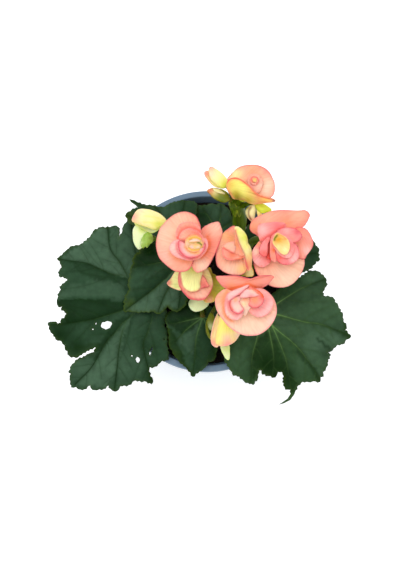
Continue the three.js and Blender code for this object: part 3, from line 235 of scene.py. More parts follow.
# %% [markdown]
# ## Living skins
# Leaf, stalk and petal skins are made in one way. The painted tint is broken up by soft clouds and by streaks
# that follow the grain, some light sinks in and glows through, and a fine bump stands for the cells. One
# function with a few plain numbers keeps them related, as they are on the plant.

# %% Small helpers for shader nodes
def set_inputs(node, values):
    """Sets a node's own sockets by name."""
    for socket, value in values.items():
        node.inputs[socket].default_value = value


def new_material(name, values):
    """A material with its Principled node, whose plain sockets are set at once."""
    material = bpy.data.materials.new(name)
    material.use_nodes = True
    shader = material.node_tree.nodes["Principled BSDF"]
    set_inputs(shader, values)
    return material, material.node_tree, shader


def fed_node(tree, kind, socket, source, values):
    """A new node with one socket fed by a source and others set to plain values."""
    node = tree.nodes.new(kind)
    set_inputs(node, values)
    tree.links.new(source, node.inputs[socket])
    return node


def noise(tree, place, scale, detail):
    """A cloudy texture with the given number of clouds to a metre."""
    values = {"Scale": scale, "Detail": detail}
    return fed_node(tree, "ShaderNodeTexNoise", "Vector", place, values).outputs["Fac"]


def mapped(tree, source, values):
    """A value carried over from one span to another."""
    return fed_node(tree, "ShaderNodeMapRange", "Value", source, values).outputs["Result"]


def fine_relief(tree, height, strength, depth, shader):
    """A bump too small to model."""
    values = {"Strength": strength, "Distance": depth}
    relief = fed_node(tree, "ShaderNodeBump", "Height", height, values)
    tree.links.new(relief.outputs["Normal"], shader.inputs["Normal"])


def attribute(tree, name):
    """A node that reads data from the corners of the mesh."""
    node = tree.nodes.new("ShaderNodeAttribute")
    node.attribute_name = name
    return node


# %% A skin material
CLOUD = {"scale": 160, "detail": 4}
STREAK = {"scale": 1, "detail": 3}
GLOW_TINT = (1.0, 0.75, 0.6)
TEXTURE_SPAN = {"From Min": 0.3, "From Max": 0.7}


def living_skin(name, roughness, gloss, streaks, clouds, cell_size, bump, glow=0.0, glow_depth=0.001):
    """A Principled material that reads the tint and grain of a mesh. Streaks and clouds are shares of 1."""
    material, tree, skin = new_material(name, {
        "Roughness": roughness,
        "Subsurface Weight": glow,
        "Subsurface Scale": glow_depth,
        "Subsurface Radius": GLOW_TINT,
        "Specular IOR Level": gloss,
    })
    place = tree.nodes.new("ShaderNodeTexCoord").outputs["Object"]
    cloud = noise(tree, place, **CLOUD)
    streak = noise(tree, attribute(tree, "grain").outputs["Vector"], **STREAK)
    shade = attribute(tree, "tint").outputs["Color"]
    for texture, share in ((cloud, clouds), (streak, streaks)):
        light = mapped(tree, texture, {**TEXTURE_SPAN, "To Min": 1 - 2 * share, "To Max": 1})
        scaled = tree.nodes.new("ShaderNodeVectorMath")
        scaled.operation = "SCALE"
        tree.links.new(shade, scaled.inputs[0])
        tree.links.new(light, scaled.inputs["Scale"])
        shade = scaled.outputs["Vector"]
    tree.links.new(shade, skin.inputs["Base Color"])
    cells = fed_node(tree, "ShaderNodeTexVoronoi", "Vector", place, {"Scale": 1 / cell_size})
    fine_relief(tree, cells.outputs["Distance"], bump, cell_size / 4, skin)
    return material


leaf_skin = living_skin(
    "leaf_skin", roughness=0.42, gloss=0.06, streaks=0.1, clouds=0.09, cell_size=0.0006, bump=0.4)
petal_skin = living_skin(
    "petal_skin", roughness=0.55, gloss=0.2, streaks=0.09, clouds=0.04, cell_size=0.0004, bump=0.1,
    glow=0.4, glow_depth=0.0025)
bud_skin = living_skin(
    "bud_skin", roughness=0.45, gloss=0.3, streaks=0.05, clouds=0.03, cell_size=0.0004, bump=0.1,
    glow=0.4, glow_depth=0.003)
stalk_skin = living_skin(
    "stalk_skin", roughness=0.45, gloss=0.15, streaks=0.2, clouds=0.14, cell_size=0.0006, bump=0.2,
    glow=0.3, glow_depth=0.003)
print("skins:", [skin.name for skin in (leaf_skin, petal_skin, bud_skin, stalk_skin)])

# %% [markdown]
# ## The pot
# A nursery pot is one shell of thin plastic with a rolled lip, a skirt below it and drain holes in its base.
# On the real thing it is a body of revolution, so its profile is turned round the axis, with small arcs at
# the lip where the mould has a radius. The drain holes are left open in the floor.

# %% The pot's profile
POT = {"height": RIM_HEIGHT, "rim": 65, "neck": 61, "base": 47, "wall": 1.2, "skirt": 9, "lip": 4, "web": 1.4}
FOOT = {"disc": 20, "ring": 41, "lift": 3, "slope": 1, "bevel": 0.4}
FLOOR_TOP = 4.6
WALL_START = 4
OUTER_ROUND = 0.8
INNER_ROUND = 1
ROUND_STEPS = 5
WALL_STEPS = 12
EASE = 0.3


def wall_radius(z):
    return mix(POT["base"], POT["neck"], z / POT["height"])


def arc(centre_r, centre_z, radius, start, end):
    """Points of a small round, with angles in degrees in the plane of the profile."""
    turns = np.radians(np.linspace(start, end, ROUND_STEPS))
    return [(centre_r + radius * math.cos(t), centre_z + radius * math.sin(t)) for t in turns]


def pot_profile():
    """From the axis out under the base, up the outside, over the lip and down the inside to the axis."""
    top, rim, wall = POT["height"], POT["rim"], POT["wall"]
    disc, ring, lift, slope, bevel = FOOT.values()
    hem = top - POT["skirt"]
    under = top - POT["web"]
    points = [(0, 0), (disc - bevel, 0), (disc, EASE), (disc + slope, lift)]
    points += [(ring - slope, lift), (ring, EASE), (ring + bevel, 0)]
    points += arc(POT["base"] - OUTER_ROUND, OUTER_ROUND, OUTER_ROUND, -90, -8)
    points += [(wall_radius(z), z) for z in np.linspace(WALL_START, under - 1, WALL_STEPS)]
    points += [(wall_radius(under) + EASE, under - 0.2), (rim - wall - 0.5, under)]
    points += [(rim - wall, under - 0.6), (rim - wall, hem + EASE)]
    points += arc(rim - wall / 2, hem + EASE, wall / 2, 200, 340)
    points += arc(rim - OUTER_ROUND, top - OUTER_ROUND, OUTER_ROUND, 0, 90)
    points += arc(rim - POT["lip"] + wall / 2, top - INNER_ROUND, INNER_ROUND, 90, 180)
    points += [(wall_radius(z) - wall, z) for z in np.linspace(hem, FLOOR_TOP + INNER_ROUND, WALL_STEPS)]
    corner = wall_radius(FLOOR_TOP) - wall - INNER_ROUND
    points += arc(corner, FLOOR_TOP + INNER_ROUND, INNER_ROUND, 0, -90)[1:]
    points += [(0, FLOOR_TOP)]
    return points


print("points in the pot's profile:", len(pot_profile()))

# %% Turn the pot and drill its drains
POT_SIDES = 120
DRAIN = {"count": 8, "circle": 31, "radius": 4, "sides": 24, "past": 2}
SHARP_ANGLE = 35


def turned(profile, sides):
    """A closed body of revolution. The profile starts and ends on the axis."""
    turns = 2 * np.pi * np.arange(sides) / sides
    points = [(0, 0, profile[0][1])]
    points += [(r * math.cos(t), r * math.sin(t), z) for r, z in profile[1:-1] for t in turns]
    points.append((0, 0, profile[-1][1]))
    last = len(points) - 1
    rings = len(profile) - 2
    faces = []
    for side in range(sides):
        nxt = (side + 1) % sides
        faces.append((0, 1 + nxt, 1 + side))
        for ring in range(rings - 1):
            a, b = 1 + ring * sides, 1 + (ring + 1) * sides
            faces.append((a + side, a + nxt, b + nxt, b + side))
        faces.append((1 + (rings - 1) * sides + side, 1 + (rings - 1) * sides + nxt, last))
    return np.array(points), faces


def drain_drills():
    """A ring of drills, each a round rod that runs past both faces of the pot's floor."""
    low, high, radius = -DRAIN["past"], FLOOR_TOP + DRAIN["past"], DRAIN["radius"]
    points, faces = turned([(0, low), (radius, low), (radius, high), (0, high)], DRAIN["sides"])
    drills = []
    for hole in range(DRAIN["count"]):
        turn = 2 * math.pi * (hole + 0.5) / DRAIN["count"]
        shift = np.array([DRAIN["circle"] * math.cos(turn), DRAIN["circle"] * math.sin(turn), 0])
        drills.append({"points": points + shift, "faces": faces})
    return mesh_object("drain_drills", **joined(drills))


def pot_with_drains():
    """The turned pot, cut by the drills with one applied Boolean."""
    pot = mesh_object("nursery_pot", *turned(pot_profile(), POT_SIDES))
    drills = drain_drills()
    cut = pot.modifiers.new("drains", "BOOLEAN")
    cut.operation = "DIFFERENCE"
    cut.solver = "EXACT"
    cut.object = drills
    bpy.context.view_layer.update()
    shaped = bpy.data.meshes.new_from_object(pot.evaluated_get(bpy.context.evaluated_depsgraph_get()))
    pot.modifiers.clear()
    pot.data = shaped
    bpy.data.objects.remove(drills)
    shaped.shade_smooth()
    shaped.set_sharp_from_angle(angle=math.radians(SHARP_ANGLE))
    return pot


pot = pot_with_drains()
print("pot faces:", len(pot.data.polygons))

# %% A plastic with a soft gloss
PLASTIC = np.array((0.12, 0.19, 0.265))
DUSTY_PLASTIC = PLASTIC * 0.6 + 0.12
FLOW = {"scale": 24, "detail": 5}
FLOW_STOPS = ((0.3, 0.86), (0.7, 1.12))
SPOTS = {"scale": 260, "detail": 3}
DUST_SPAN = {"From Min": 0.56, "From Max": 0.74, "To Max": 0.35}
ROUGH_SPAN = {"To Min": 0.39, "To Max": 0.55}
MOULD_GRAIN = {"size": 0.0012, "detail": 2, "bump": 0.25}


def moulded_plastic():
    """Matt polypropylene: an even colour with faint flow marks, fine texture, dust and water spots."""
    material, tree, plastic = new_material("pot_plastic", {"Specular IOR Level": 0.3})
    place = tree.nodes.new("ShaderNodeTexCoord").outputs["Object"]
    spots = noise(tree, place, **SPOTS)
    shade = fed_node(tree, "ShaderNodeValToRGB", "Fac", noise(tree, place, **FLOW), {})
    for stop, (position, light) in zip(shade.color_ramp.elements, FLOW_STOPS):
        stop.position = position
        stop.color = (*(PLASTIC * light), 1)
    dusty = tree.nodes.new("ShaderNodeMix")
    dusty.data_type = "RGBA"
    tree.links.new(mapped(tree, spots, DUST_SPAN), dusty.inputs["Factor"])
    tree.links.new(shade.outputs["Color"], dusty.inputs["A"])
    dusty.inputs["B"].default_value = (*DUSTY_PLASTIC, 1)
    tree.links.new(dusty.outputs["Result"], plastic.inputs["Base Color"])
    tree.links.new(mapped(tree, spots, ROUGH_SPAN), plastic.inputs["Roughness"])
    texture = noise(tree, place, 1 / MOULD_GRAIN["size"], MOULD_GRAIN["detail"])
    fine_relief(tree, texture, MOULD_GRAIN["bump"], MOULD_GRAIN["size"] / 8, plastic)
    return material


pot.data.materials.clear()
pot.data.materials.append(moulded_plastic())
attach(pot, "root")
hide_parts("pot")
print("pot material:", pot.data.materials[0].name)

# %% [markdown]
# ## The soil
# Potting soil is a crumbly mix of peat, bark and white perlite. It fills the pot to a finger's breadth below
# the rim. A bed with a wavy top gives the mass, and loose crumbs strewn over it give the texture: each is a
# small stone of its own size and turn, drawn at random from a fixed seed so that it is the same every time.

# %% Lay the bed
SOIL_TOP = 94
SOIL_WAVE = 0.9
SOIL_GAP = 0.3
BED_RINGS = 26
BED_SIDES = 90


def soil_bed():
    """A closed bed with a wavy top that fits inside the pot's wall."""
    floor = FLOOR_TOP + SOIL_GAP
    low, high = (wall_radius(z) - POT["wall"] - SOIL_GAP for z in (floor, SOIL_TOP))
    profile = [(0, floor), (low, floor)]
    profile += [(r, SOIL_TOP) for r in np.linspace(high, 0, BED_RINGS)]
    points, faces = turned(profile, BED_SIDES)
    x, y, z = points.T
    wave = np.sin(0.31 * x + 1.3 * np.sin(0.23 * y)) * np.cos(0.27 * y + np.sin(0.19 * x))
    wave += 0.6 * np.sin(0.9 * x + 0.7 * y) * np.sin(0.8 * y - 0.6 * x)
    open_top = (z > SOIL_TOP - 1) & (np.hypot(x, y) < high - 1)
    points[:, 2] += np.where(open_top, SOIL_WAVE * wave, 0)
    return plain_part(points, faces, COLOURS["soil_bed"])


# %% Strew the crumbs
CRUMBS = {"count": 1500, "seed": 7, "from_wall": 3.5, "lift": 0.8}
CRUMB_SPANS = {"size": (0.5, 1.7), "light": (0.8, 1.25), "corner": (0.6, 1.3), "stretch": (0.6, 1.2)}
CRUMB_KINDS = {"peat": 0.42, "bark": 0.22, "humus": 0.32, "perlite": 0.04}
CRUMB_CORNERS = [(1, 0, 0), (-1, 0, 0), (0, 1, 0), (0, -1, 0), (0, 0, 1), (0, 0, -1)]
CRUMB_FACES = [(0, 2, 4), (2, 1, 4), (1, 3, 4), (3, 0, 4), (2, 0, 5), (1, 2, 5), (3, 1, 5), (0, 3, 5)]


def crumb(place, size, colour, dice):
    """A stone with eight faces, stretched and turned at random."""
    corners = np.array(CRUMB_CORNERS, float)
    corners *= dice.uniform(*CRUMB_SPANS["corner"], (6, 1)) * dice.uniform(*CRUMB_SPANS["stretch"], 3)
    spin, _ = np.linalg.qr(dice.normal(size=(3, 3)))
    faces = CRUMB_FACES
    if np.linalg.det(spin) < 0:
        faces = [face[::-1] for face in faces]
    part = plain_part(corners @ spin.T * size + place, faces, colour)
    return {**part, "grain": np.tile(place, (len(corners), 1))}


def strewn_crumbs():
    """Crumbs of peat, bark and perlite over the bed."""
    dice = np.random.default_rng(CRUMBS["seed"])
    kinds = list(CRUMB_KINDS)
    crumbs = []
    for kind in dice.choice(len(kinds), CRUMBS["count"], p=list(CRUMB_KINDS.values())):
        radius = (wall_radius(SOIL_TOP) - CRUMBS["from_wall"]) * math.sqrt(dice.random())
        turn = 2 * math.pi * dice.random()
        height = SOIL_TOP + dice.uniform(0, CRUMBS["lift"])
        place = np.array([radius * math.cos(turn), radius * math.sin(turn), height])
        size = dice.uniform(*CRUMB_SPANS["size"])
        colour = COLOURS[kinds[kind]] * dice.uniform(*CRUMB_SPANS["light"])
        crumbs.append(crumb(place, size, colour, dice))
    return joined(crumbs)


crumb_skin = living_skin(
    "crumb_skin", roughness=0.9, gloss=0.1, streaks=0.2, clouds=0.2, cell_size=0.0005, bump=0.8)
soil_part = joined([soil_bed(), strewn_crumbs()])
soil = make_piece("potting_soil", soil_part, crumb_skin, ["soil"], POT_PLACE)
soil.data.shade_flat()
print("soil faces:", len(soil.data.polygons))

# %% [markdown]
# ## Stalks
# A begonia's stalks are juicy, round and a little ribbed, green where the light reaches them and flushed with
# red near each joint. Curve objects with a bevel could make them, but a tube made by hand can swell at its
# joints and carry its own tint, so a smooth line is drawn first and rings are laid along it.

# %% Smooth lines
SPANS = 12


def curved(p0, p1, p2, p3, t):
    """Points on a smooth curve that passes through all four corners, for t from 0 at p1 to 1 at p2."""
    bend = (2 * p0 - 5 * p1 + 4 * p2 - p3) * t**2 + (3 * p1 - p0 - 3 * p2 + p3) * t**3
    return 0.5 * (2 * p1 + (p2 - p0) * t + bend)


def smooth_line(points, step):
    """Even points, about step apart, on a smooth curve through the given ones."""
    points = np.array(points, float)
    route = np.vstack([2 * points[0] - points[1], points, 2 * points[-1] - points[-2]])
    t = np.linspace(0, 1, SPANS, endpoint=False)[:, None]
    dense = [curved(*four, t) for four in zip(route, route[1:], route[2:], route[3:])]
    dense = np.vstack(dense + [route[-2:-1]])
    run = np.concatenate([[0], np.cumsum(np.linalg.norm(np.diff(dense, axis=0), axis=1))])
    marks = np.linspace(0, run[-1], max(2, round(run[-1] / step) + 1))
    return np.column_stack([np.interp(marks, run, column) for column in dense.T])


print("points on a petiole:", len(smooth_line([(-47, -18, 116), (-30, -9, 109), (-12, 3, 103)], 2.0)))

# %% Tubes with ribs
STALK_SIDES = 16
RIBS = {"count": 5, "depth": 0.04, "twist": 0.02}
END_DOME = 0.3
FIRST_ACROSS = (0.3, 0.9, 0.1)
STALK_GRAIN = {"round": 3, "along": 0.06}


def tube(line, radii, tints):
    """A closed tube along a line, with a radius and a tint for each of its points."""
    sides = STALK_SIDES
    ahead = np.gradient(line, axis=0)
    ahead /= np.linalg.norm(ahead, axis=1, keepdims=True)
    across = np.cross(ahead[0], FIRST_ACROSS)
    turns = 2 * np.pi * np.arange(sides) / sides
    cos, sin = np.cos(turns), np.sin(turns)
    rings = []
    grain = []
    for i, centre in enumerate(line):
        across = across - ahead[i] * (across @ ahead[i])
        across /= np.linalg.norm(across)
        up = np.cross(ahead[i], across)
        radius = radii[i] * (1 + RIBS["depth"] * np.cos(RIBS["count"] * turns + RIBS["twist"] * i))
        rings.append(centre + radius[:, None] * (cos[:, None] * across + sin[:, None] * up))
        run = np.full(sides, STALK_GRAIN["along"] * i)
        grain.append(np.column_stack([cos * STALK_GRAIN["round"], sin * STALK_GRAIN["round"], run]))
    count = len(line) * sides
    faces = []
    for ring in range(len(line) - 1):
        for side in range(sides):
            a, b = ring * sides + side, ring * sides + (side + 1) % sides
            faces.append((a, b, b + sides, a + sides))
    for side in range(sides):
        nxt = (side + 1) % sides
        faces.append((count, nxt, side))
        faces.append((count + 1, count - sides + side, count - sides + nxt))
    foot = line[0] - ahead[0] * radii[0] * END_DOME
    tip = line[-1] + ahead[-1] * radii[-1] * END_DOME
    return {
        "points": np.vstack(rings + [foot, tip]),
        "faces": faces,
        "tint": np.vstack([np.repeat(tints, sides, axis=0), tints[:1], tints[-1:]]),
        "grain": np.vstack(grain + [np.zeros((2, 3))]),
    }


# %% A stalk with swollen ends
STALK_STEP = 2.0
SWELLING = 0.12
END_SHARES = 6


def stalk(points, foot, tip, flush=0.5, skin="stem"):
    """A stalk whose first and last sixth swell and redden towards its ends. flush says how red they are."""
    line = smooth_line(points, STALK_STEP)
    share = np.linspace(0, 1, len(line))
    near_end = np.maximum(1 - share * END_SHARES, 0) + np.maximum(share * END_SHARES - (END_SHARES - 1), 0)
    radii = mix(foot, tip, share) * (1 + SWELLING * near_end**2)
    return tube(line, radii, painted(COLOURS[skin], "stem_red", flush * near_end))


# %% [markdown]
# ## Leaves
# A begonia leaf is lopsided and waxy. Its main veins fan out from the hub where the petiole meets the blade,
# side veins branch off them, and the blade bulges softly between. Its margin is cut and toothed, and old
# leaves are nibbled. A grid would waste corners on the open blade and miss the veins, so each blade is
# triangulated from its own lines: the margin, the veins and a loose filling of points between them.

# %% Measuring on the drawing
def closed(loop):
    """A loop's corners with the first one again at the end."""
    return np.vstack([loop, loop[:1]])


def distance_to(points, lines):
    """How far each point is from the nearest line, and how far along that line its foot lies, from 0 to 1."""
    best = np.full(len(points), FAR)
    along = np.zeros(len(points))
    for line in lines:
        for i, (a, b) in enumerate(zip(line[:-1], line[1:])):
            ab = b - a
            t = np.clip(((points - a) @ ab) / max(ab @ ab, TINY), 0, 1)
            gap = np.hypot(*(points - a - t[:, None] * ab).T)
            near = gap < best
            best[near] = gap[near]
            along[near] = (i + t[near]) / (len(line) - 1)
    return best, along


def inside(points, loop):
    """Whether each point lies inside a closed loop."""
    x, y = points.T
    hit = np.zeros(len(points), bool)
    for (x0, y0), (x1, y1) in zip(loop, np.roll(loop, -1, axis=0)):
        crosses = (y0 > y) != (y1 > y)
        hit ^= crosses & (x < (x1 - x0) * (y - y0) / (y1 - y0 + TINY) + x0)
    return hit


# %% Teeth and bites
TOOTH = {"length": 1.5, "height": 0.62, "notch": -0.4, "uneven": (0.3, 1.4), "shift": 0.2}
BITE = {"corners": 14, "uneven": (0.82, 1.12)}


def toothed(outline, dice, bare):
    """The margin with fine, uneven teeth, but none in the round area bare."""
    loop = []
    for a, b in zip(outline, np.roll(outline, -1, axis=0)):
        length = np.hypot(*(b - a))
        outward = np.array([b[1] - a[1], a[0] - b[0]]) / length
        loop.append(a)
        parts = max(1, round(length / TOOTH["length"]))
        for part in range(1, parts):
            height = TOOTH["height"] * (1 if part % 2 else TOOTH["notch"]) * dice.uniform(*TOOTH["uneven"])
            if bare and math.dist(a, bare[0]) < bare[1]:
                height = 0
            shift = dice.uniform(-TOOTH["shift"], TOOTH["shift"])
            loop.append(a + (b - a) * (part + shift) / parts + outward * height)
    return np.array(loop)


def bite(u, v, length, width, tilt, dice):
    """The uneven oval of a bite taken from a leaf."""
    count = BITE["corners"]
    turns = 2 * np.pi * np.arange(count) / count
    radius = dice.uniform(*BITE["uneven"], count)
    x, y = length / 2 * np.cos(turns) * radius, width / 2 * np.sin(turns) * radius
    cos, sin = math.cos(math.radians(tilt)), math.sin(math.radians(tilt))
    return np.column_stack([u + x * cos - y * sin, v + x * sin + y * cos])


print("a tooth is", TOOTH["length"], "mm long")

# %% Side veins
SIDE_VEIN = {"step": 1.5, "steps": 40, "angle": (40, 54), "curl": 0.97}
SIDE_VEIN_GAPS = {"first": (0.7, 1.1), "next": (0.42, 0.6)}
NEARER_OWNER = 0.95
SHORTEST = 3


def side_vein_starts(mains, spacing, dice):
    """The places where side veins start, the main vein's heading there, their turn from it, its number."""
    starts = []
    for owner, main in enumerate(mains):
        line = smooth_line(main, 1.0)
        side = 1
        place = spacing * dice.uniform(*SIDE_VEIN_GAPS["first"])
        while place < len(line) - SHORTEST:
            here = int(place)
            ahead = line[here + 1] - line[here]
            turn = side * math.radians(dice.uniform(*SIDE_VEIN["angle"]))
            starts.append((line[here], math.atan2(ahead[1], ahead[0]), turn, owner))
            side = -side
            place += spacing * dice.uniform(*SIDE_VEIN_GAPS["next"])
    return [np.array(column) for column in zip(*starts)]


def side_veins(mains, outline, spacing, dice):
    """Veins that leave the main ones left and right in turn, up to the margin or halfway to a neighbour."""
    tips, headings, turns, owners = side_vein_starts(mains, spacing, dice)
    order = np.arange(len(tips))
    alive = np.ones(len(tips), bool)
    paths = [[tip] for tip in tips]
    for step in range(SIDE_VEIN["steps"]):
        way = headings + turns * SIDE_VEIN["curl"] ** step
        tips = tips + SIDE_VEIN["step"] * np.column_stack([np.cos(way), np.sin(way)])
        gaps = np.array([distance_to(tips, [main])[0] for main in mains])
        own = gaps[owners, order]
        gaps[owners, order] = FAR
        alive &= inside(tips, outline) & (gaps.min(axis=0) >= NEARER_OWNER * own)
        for i in np.flatnonzero(alive):
            paths[i].append(tips[i])
    return [np.array(path) for path in paths if len(path) > SHORTEST]


# %% Washes of colour, painted shade and painted sheen
FACET = {"heart": 0.65, "softness": 5}


def washed(tint, u, v, washes):
    """Soft round washes of colour laid over a tint: (u, v, size, colour, strength)."""
    for wash_u, wash_v, size, colour, strength in washes:
        share = strength * np.exp(-((u - wash_u) ** 2 + (v - wash_v) ** 2) / size**2)
        tint = painted(tint, colour, share)
    return tint


def faceted(tint, points, facets):
    """Flat areas that catch more or less light, sharp along their outline: (outline, colour, strength)."""
    for outline, colour, strength in facets:
        outline = np.array(outline, float)
        depth = distance_to(points, [closed(outline)])[0]
        share = strength * inside(points, outline) * mix(FACET["heart"], 1, fade(depth, FACET["softness"]))
        tint = painted(tint, colour, share)
    return tint


# %% The blade's triangles
FILL_STEP = 2.1
ROW_SHARE = 0.87
VEIN_HALF = 0.75
VEIN_CLEAR = 1.7
MARGIN_CLEAR = 0.45
SAME_POINT = 0.3
MEETING = 1e-5


def vein_points(lines):
    """The middle and both sides of every vein."""
    kept = []
    for line in lines:
        ahead = np.gradient(line, axis=0)
        across = np.column_stack([-ahead[:, 1], ahead[:, 0]])
        across *= VEIN_HALF / np.linalg.norm(across, axis=1, keepdims=True)
        kept += [line[1:], line + across, line - across]
    return np.vstack(kept)


def loose_filling(outline, lines):
    """Points in staggered rows over the outline's box, clear of the veins."""
    low, high = outline.min(axis=0), outline.max(axis=0)
    rows = np.arange(low[1], high[1], FILL_STEP * ROW_SHARE)
    starts = [low[0] + (row % 2) * FILL_STEP / 2 for row in range(len(rows))]
    fill = np.array([(u, v) for start, v in zip(starts, rows) for u in np.arange(start, high[0], FILL_STEP)])
    return fill[distance_to(fill, lines)[0] > VEIN_CLEAR * VEIN_HALF]


def blade_mesh(loops, lines):
    """Triangles that follow the margin, the holes and both sides of every vein."""
    free = np.vstack([vein_points(lines), loose_filling(loops[0], lines)])
    free = free[distance_to(free, [closed(loop) for loop in loops])[0] > MARGIN_CLEAR]
    free = free[inside(free, loops[0])]
    order = np.unique(np.round(free / SAME_POINT), axis=0, return_index=True)[1]
    edges = []
    start = 0
    for loop in loops:
        edges += [(start + i, start + (i + 1) % len(loop)) for i in range(len(loop))]
        start += len(loop)
    corners = [Vector(point) for point in np.vstack([*loops, free[np.sort(order)]])]
    verts, _, faces, _, _, _ = geometry.delaunay_2d_cdt(corners, edges, [], 0, MEETING)
    points = np.array([tuple(vert) for vert in verts])
    faces = np.array([tuple(face) for face in faces])
    middle = points[faces].mean(axis=1)
    keep = inside(middle, loops[0])
    for hole in loops[1:]:
        keep &= ~inside(middle, hole)
    faces = faces[keep]
    used = np.unique(faces)
    renumber = np.full(len(points), -1)
    renumber[used] = np.arange(len(used))
    return points[used], [tuple(face) for face in renumber[faces]]


# %% The blade's height
LOOK_OUT = 30
FALL_BLEND = 4
FURTHEST = 1.15
ARCH = 1.7
MARGIN_WAVE = {"height": 0.7, "count": 9, "power": 4}
CREASE_WIDTH = 4
CREASE_REACH = 1.1
FOLD_STEP = 3
MAIN_GROOVE = {"depth": 0.35, "width": 1.0}
SIDE_GROOVE = {"depth": 0.45, "width": 1.3}


def blade_height(hub, fall, points, outline):
    """The height of the blade over drawn points, before its veins: level at the hub, then bending down."""
    hub = np.array(hub, float)
    away = points - hub[:2]
    direction = np.arctan2(away[:, 1], away[:, 0])[:, None]
    rim = outline - hub[:2]
    rim_direction = np.arctan2(rim[:, 1], rim[:, 0])
    near = np.exp(LOOK_OUT * (np.cos(direction - rim_direction) - 1))
    full = (near * np.hypot(*rim.T)).sum(axis=1) / near.sum(axis=1)
    reach = np.clip(np.hypot(*away.T) / full, 0, FURTHEST)
    degrees, heights = np.array(fall, float).T
    share = np.exp(FALL_BLEND * np.cos(direction - np.radians(degrees)))
    margin = (share * heights).sum(axis=1) / share.sum(axis=1)
    wave = MARGIN_WAVE["height"] * np.sin(MARGIN_WAVE["count"] * direction[:, 0] + hub[0])
    return mix(hub[2], margin, reach**ARCH) + wave * reach ** MARGIN_WAVE["power"], reach


def in_relief(height, points, reach, main_lines, creases, side_lines, folds):
    """The height again, lowered by creases and grooves along the veins and raised by the folds."""
    sink = np.sin(np.pi * np.clip(reach / CREASE_REACH, 0, 1))
    for line, crease in zip(main_lines, creases):
        height = height - crease * fade(distance_to(points, [line])[0], CREASE_WIDTH) * sink
    to_side, along = distance_to(points, side_lines)
    height -= SIDE_GROOVE["depth"] * fade(to_side, SIDE_GROOVE["width"]) * np.clip(2 * (1 - along), 0, 1)
    height -= MAIN_GROOVE["depth"] * fade(distance_to(points, main_lines)[0], MAIN_GROOVE["width"])
    for line, rise, width in folds:
        height += rise * bell(distance_to(points, [smooth_line(line, FOLD_STEP)])[0], width)
    return height


# %% The blade's colours
VEIN = {"width": 0.6, "side_share": 0.12, "side_width": 0.5}
# How dark and how wide the painted shade in the veins' creases is.
CREASE_SHADE = {"main": 0.95, "haze": 0.22, "side": 0.5}
CREASE_SHADE_WIDTH = {"main": 0.9, "haze": 3.2, "side": 0.8}
EDGE_WIDTH = 0.9
UNDER_VEIN_WIDTH = 0.8


def blade_tints(points, outline, main_lines, side_lines, look):
    """Top, under and rim tints: pale veins in painted crease shade, washes and facets, and a warm margin."""
    to_main, along = distance_to(points, main_lines)
    to_side, side_along = distance_to(points, side_lines)
    light = look["vein_strength"] * bell(to_main, VEIN["width"]) * np.clip(1.2 - 1.35 * along, 0.1, 1)
    side_light = VEIN["side_share"] * look["vein_strength"]
    light = np.maximum(light, side_light * bell(to_side, VEIN["side_width"]) * (1 - 0.6 * side_along))
    # Painted shade in the veins' creases: dark on the main veins with a faint wide band round them, lighter
    # on the side veins.
    crease_shade = CREASE_SHADE["main"] * bell(to_main, CREASE_SHADE_WIDTH["main"]) * smooth(0.1, 0.5, along)
    crease_shade = np.maximum(crease_shade, CREASE_SHADE["haze"] * bell(to_main, CREASE_SHADE_WIDTH["haze"]))
    side_crease_shade = CREASE_SHADE["side"] * bell(to_side, CREASE_SHADE_WIDTH["side"])
    crease_shade = np.maximum(crease_shade, side_crease_shade * (1 - 0.5 * side_along))
    top = np.tile(COLOURS[look["face"]], (len(points), 1))
    top = washed(top, points[:, 0], points[:, 1], look["washes"])
    top = faceted(top, points, look["facets"])
    top = painted(top, "painted_leaf_shade", crease_shade)
    top = painted(top, "vein", light)
    to_edge = distance_to(points, [closed(outline)])[0]
    top = painted(top, "leaf_gold", look["edge"] * fade(to_edge, EDGE_WIDTH))
    under_vein = np.clip(2 * fade(to_main, UNDER_VEIN_WIDTH), 0, 1)
    under = painted(COLOURS["leaf_under"], "vein_under", under_vein)
    return top, under, painted(top, "leaf_gold", look["edge"])


# %% From a drawing to a leaf
BLADE_THICKNESS = 0.6
BLADE_GRAIN = 0.25
VEIN_STEP = 1.4
PETIOLE = {"foot": 1.6, "tip": 2.0}
PLAIN_LOOK = {"face": "leaf", "vein_strength": 0.4, "edge": 0.2, "facets": ()}
leaf_dice = np.random.default_rng(21)


def make_leaf(name, hub, petiole, outline, fall, veins, spacing=12, bare=None, folds=(), holes=(), **look):
    """A leaf as two pieces, blade and petiole. A vein is (its points beyond the hub, its crease's depth)."""
    drawn = np.array(outline, float)
    margin = toothed(drawn, leaf_dice, bare)
    bites = [bite(*hole, leaf_dice) for hole in holes]
    mains = [np.array([hub[:2], *vein], float) for vein, _ in veins]
    main_lines = [smooth_line(main, VEIN_STEP) for main in mains]
    side_lines = side_veins(mains, drawn, spacing, leaf_dice)
    points, faces = blade_mesh([margin] + bites, main_lines + side_lines)
    height, reach = blade_height(hub, fall, points, drawn)
    height = in_relief(height, points, reach, main_lines, [crease for _, crease in veins], side_lines, folds)
    real = seen_at(points[:, 0], points[:, 1], height)
    tints = blade_tints(points, margin, main_lines, side_lines, {**PLAIN_LOOK, **look})
    grain = np.column_stack([points * BLADE_GRAIN, np.zeros(len(points))])
    part = closed_sheet(real, faces, BLADE_THICKNESS, *tints, grain)
    blade = make_piece(name + "_blade", part, leaf_skin, [name])
    make_piece(name + "_petiole", stalk(petiole, **PETIOLE), stalk_skin, [name])
    print(name, len(blade.data.polygons), "faces")
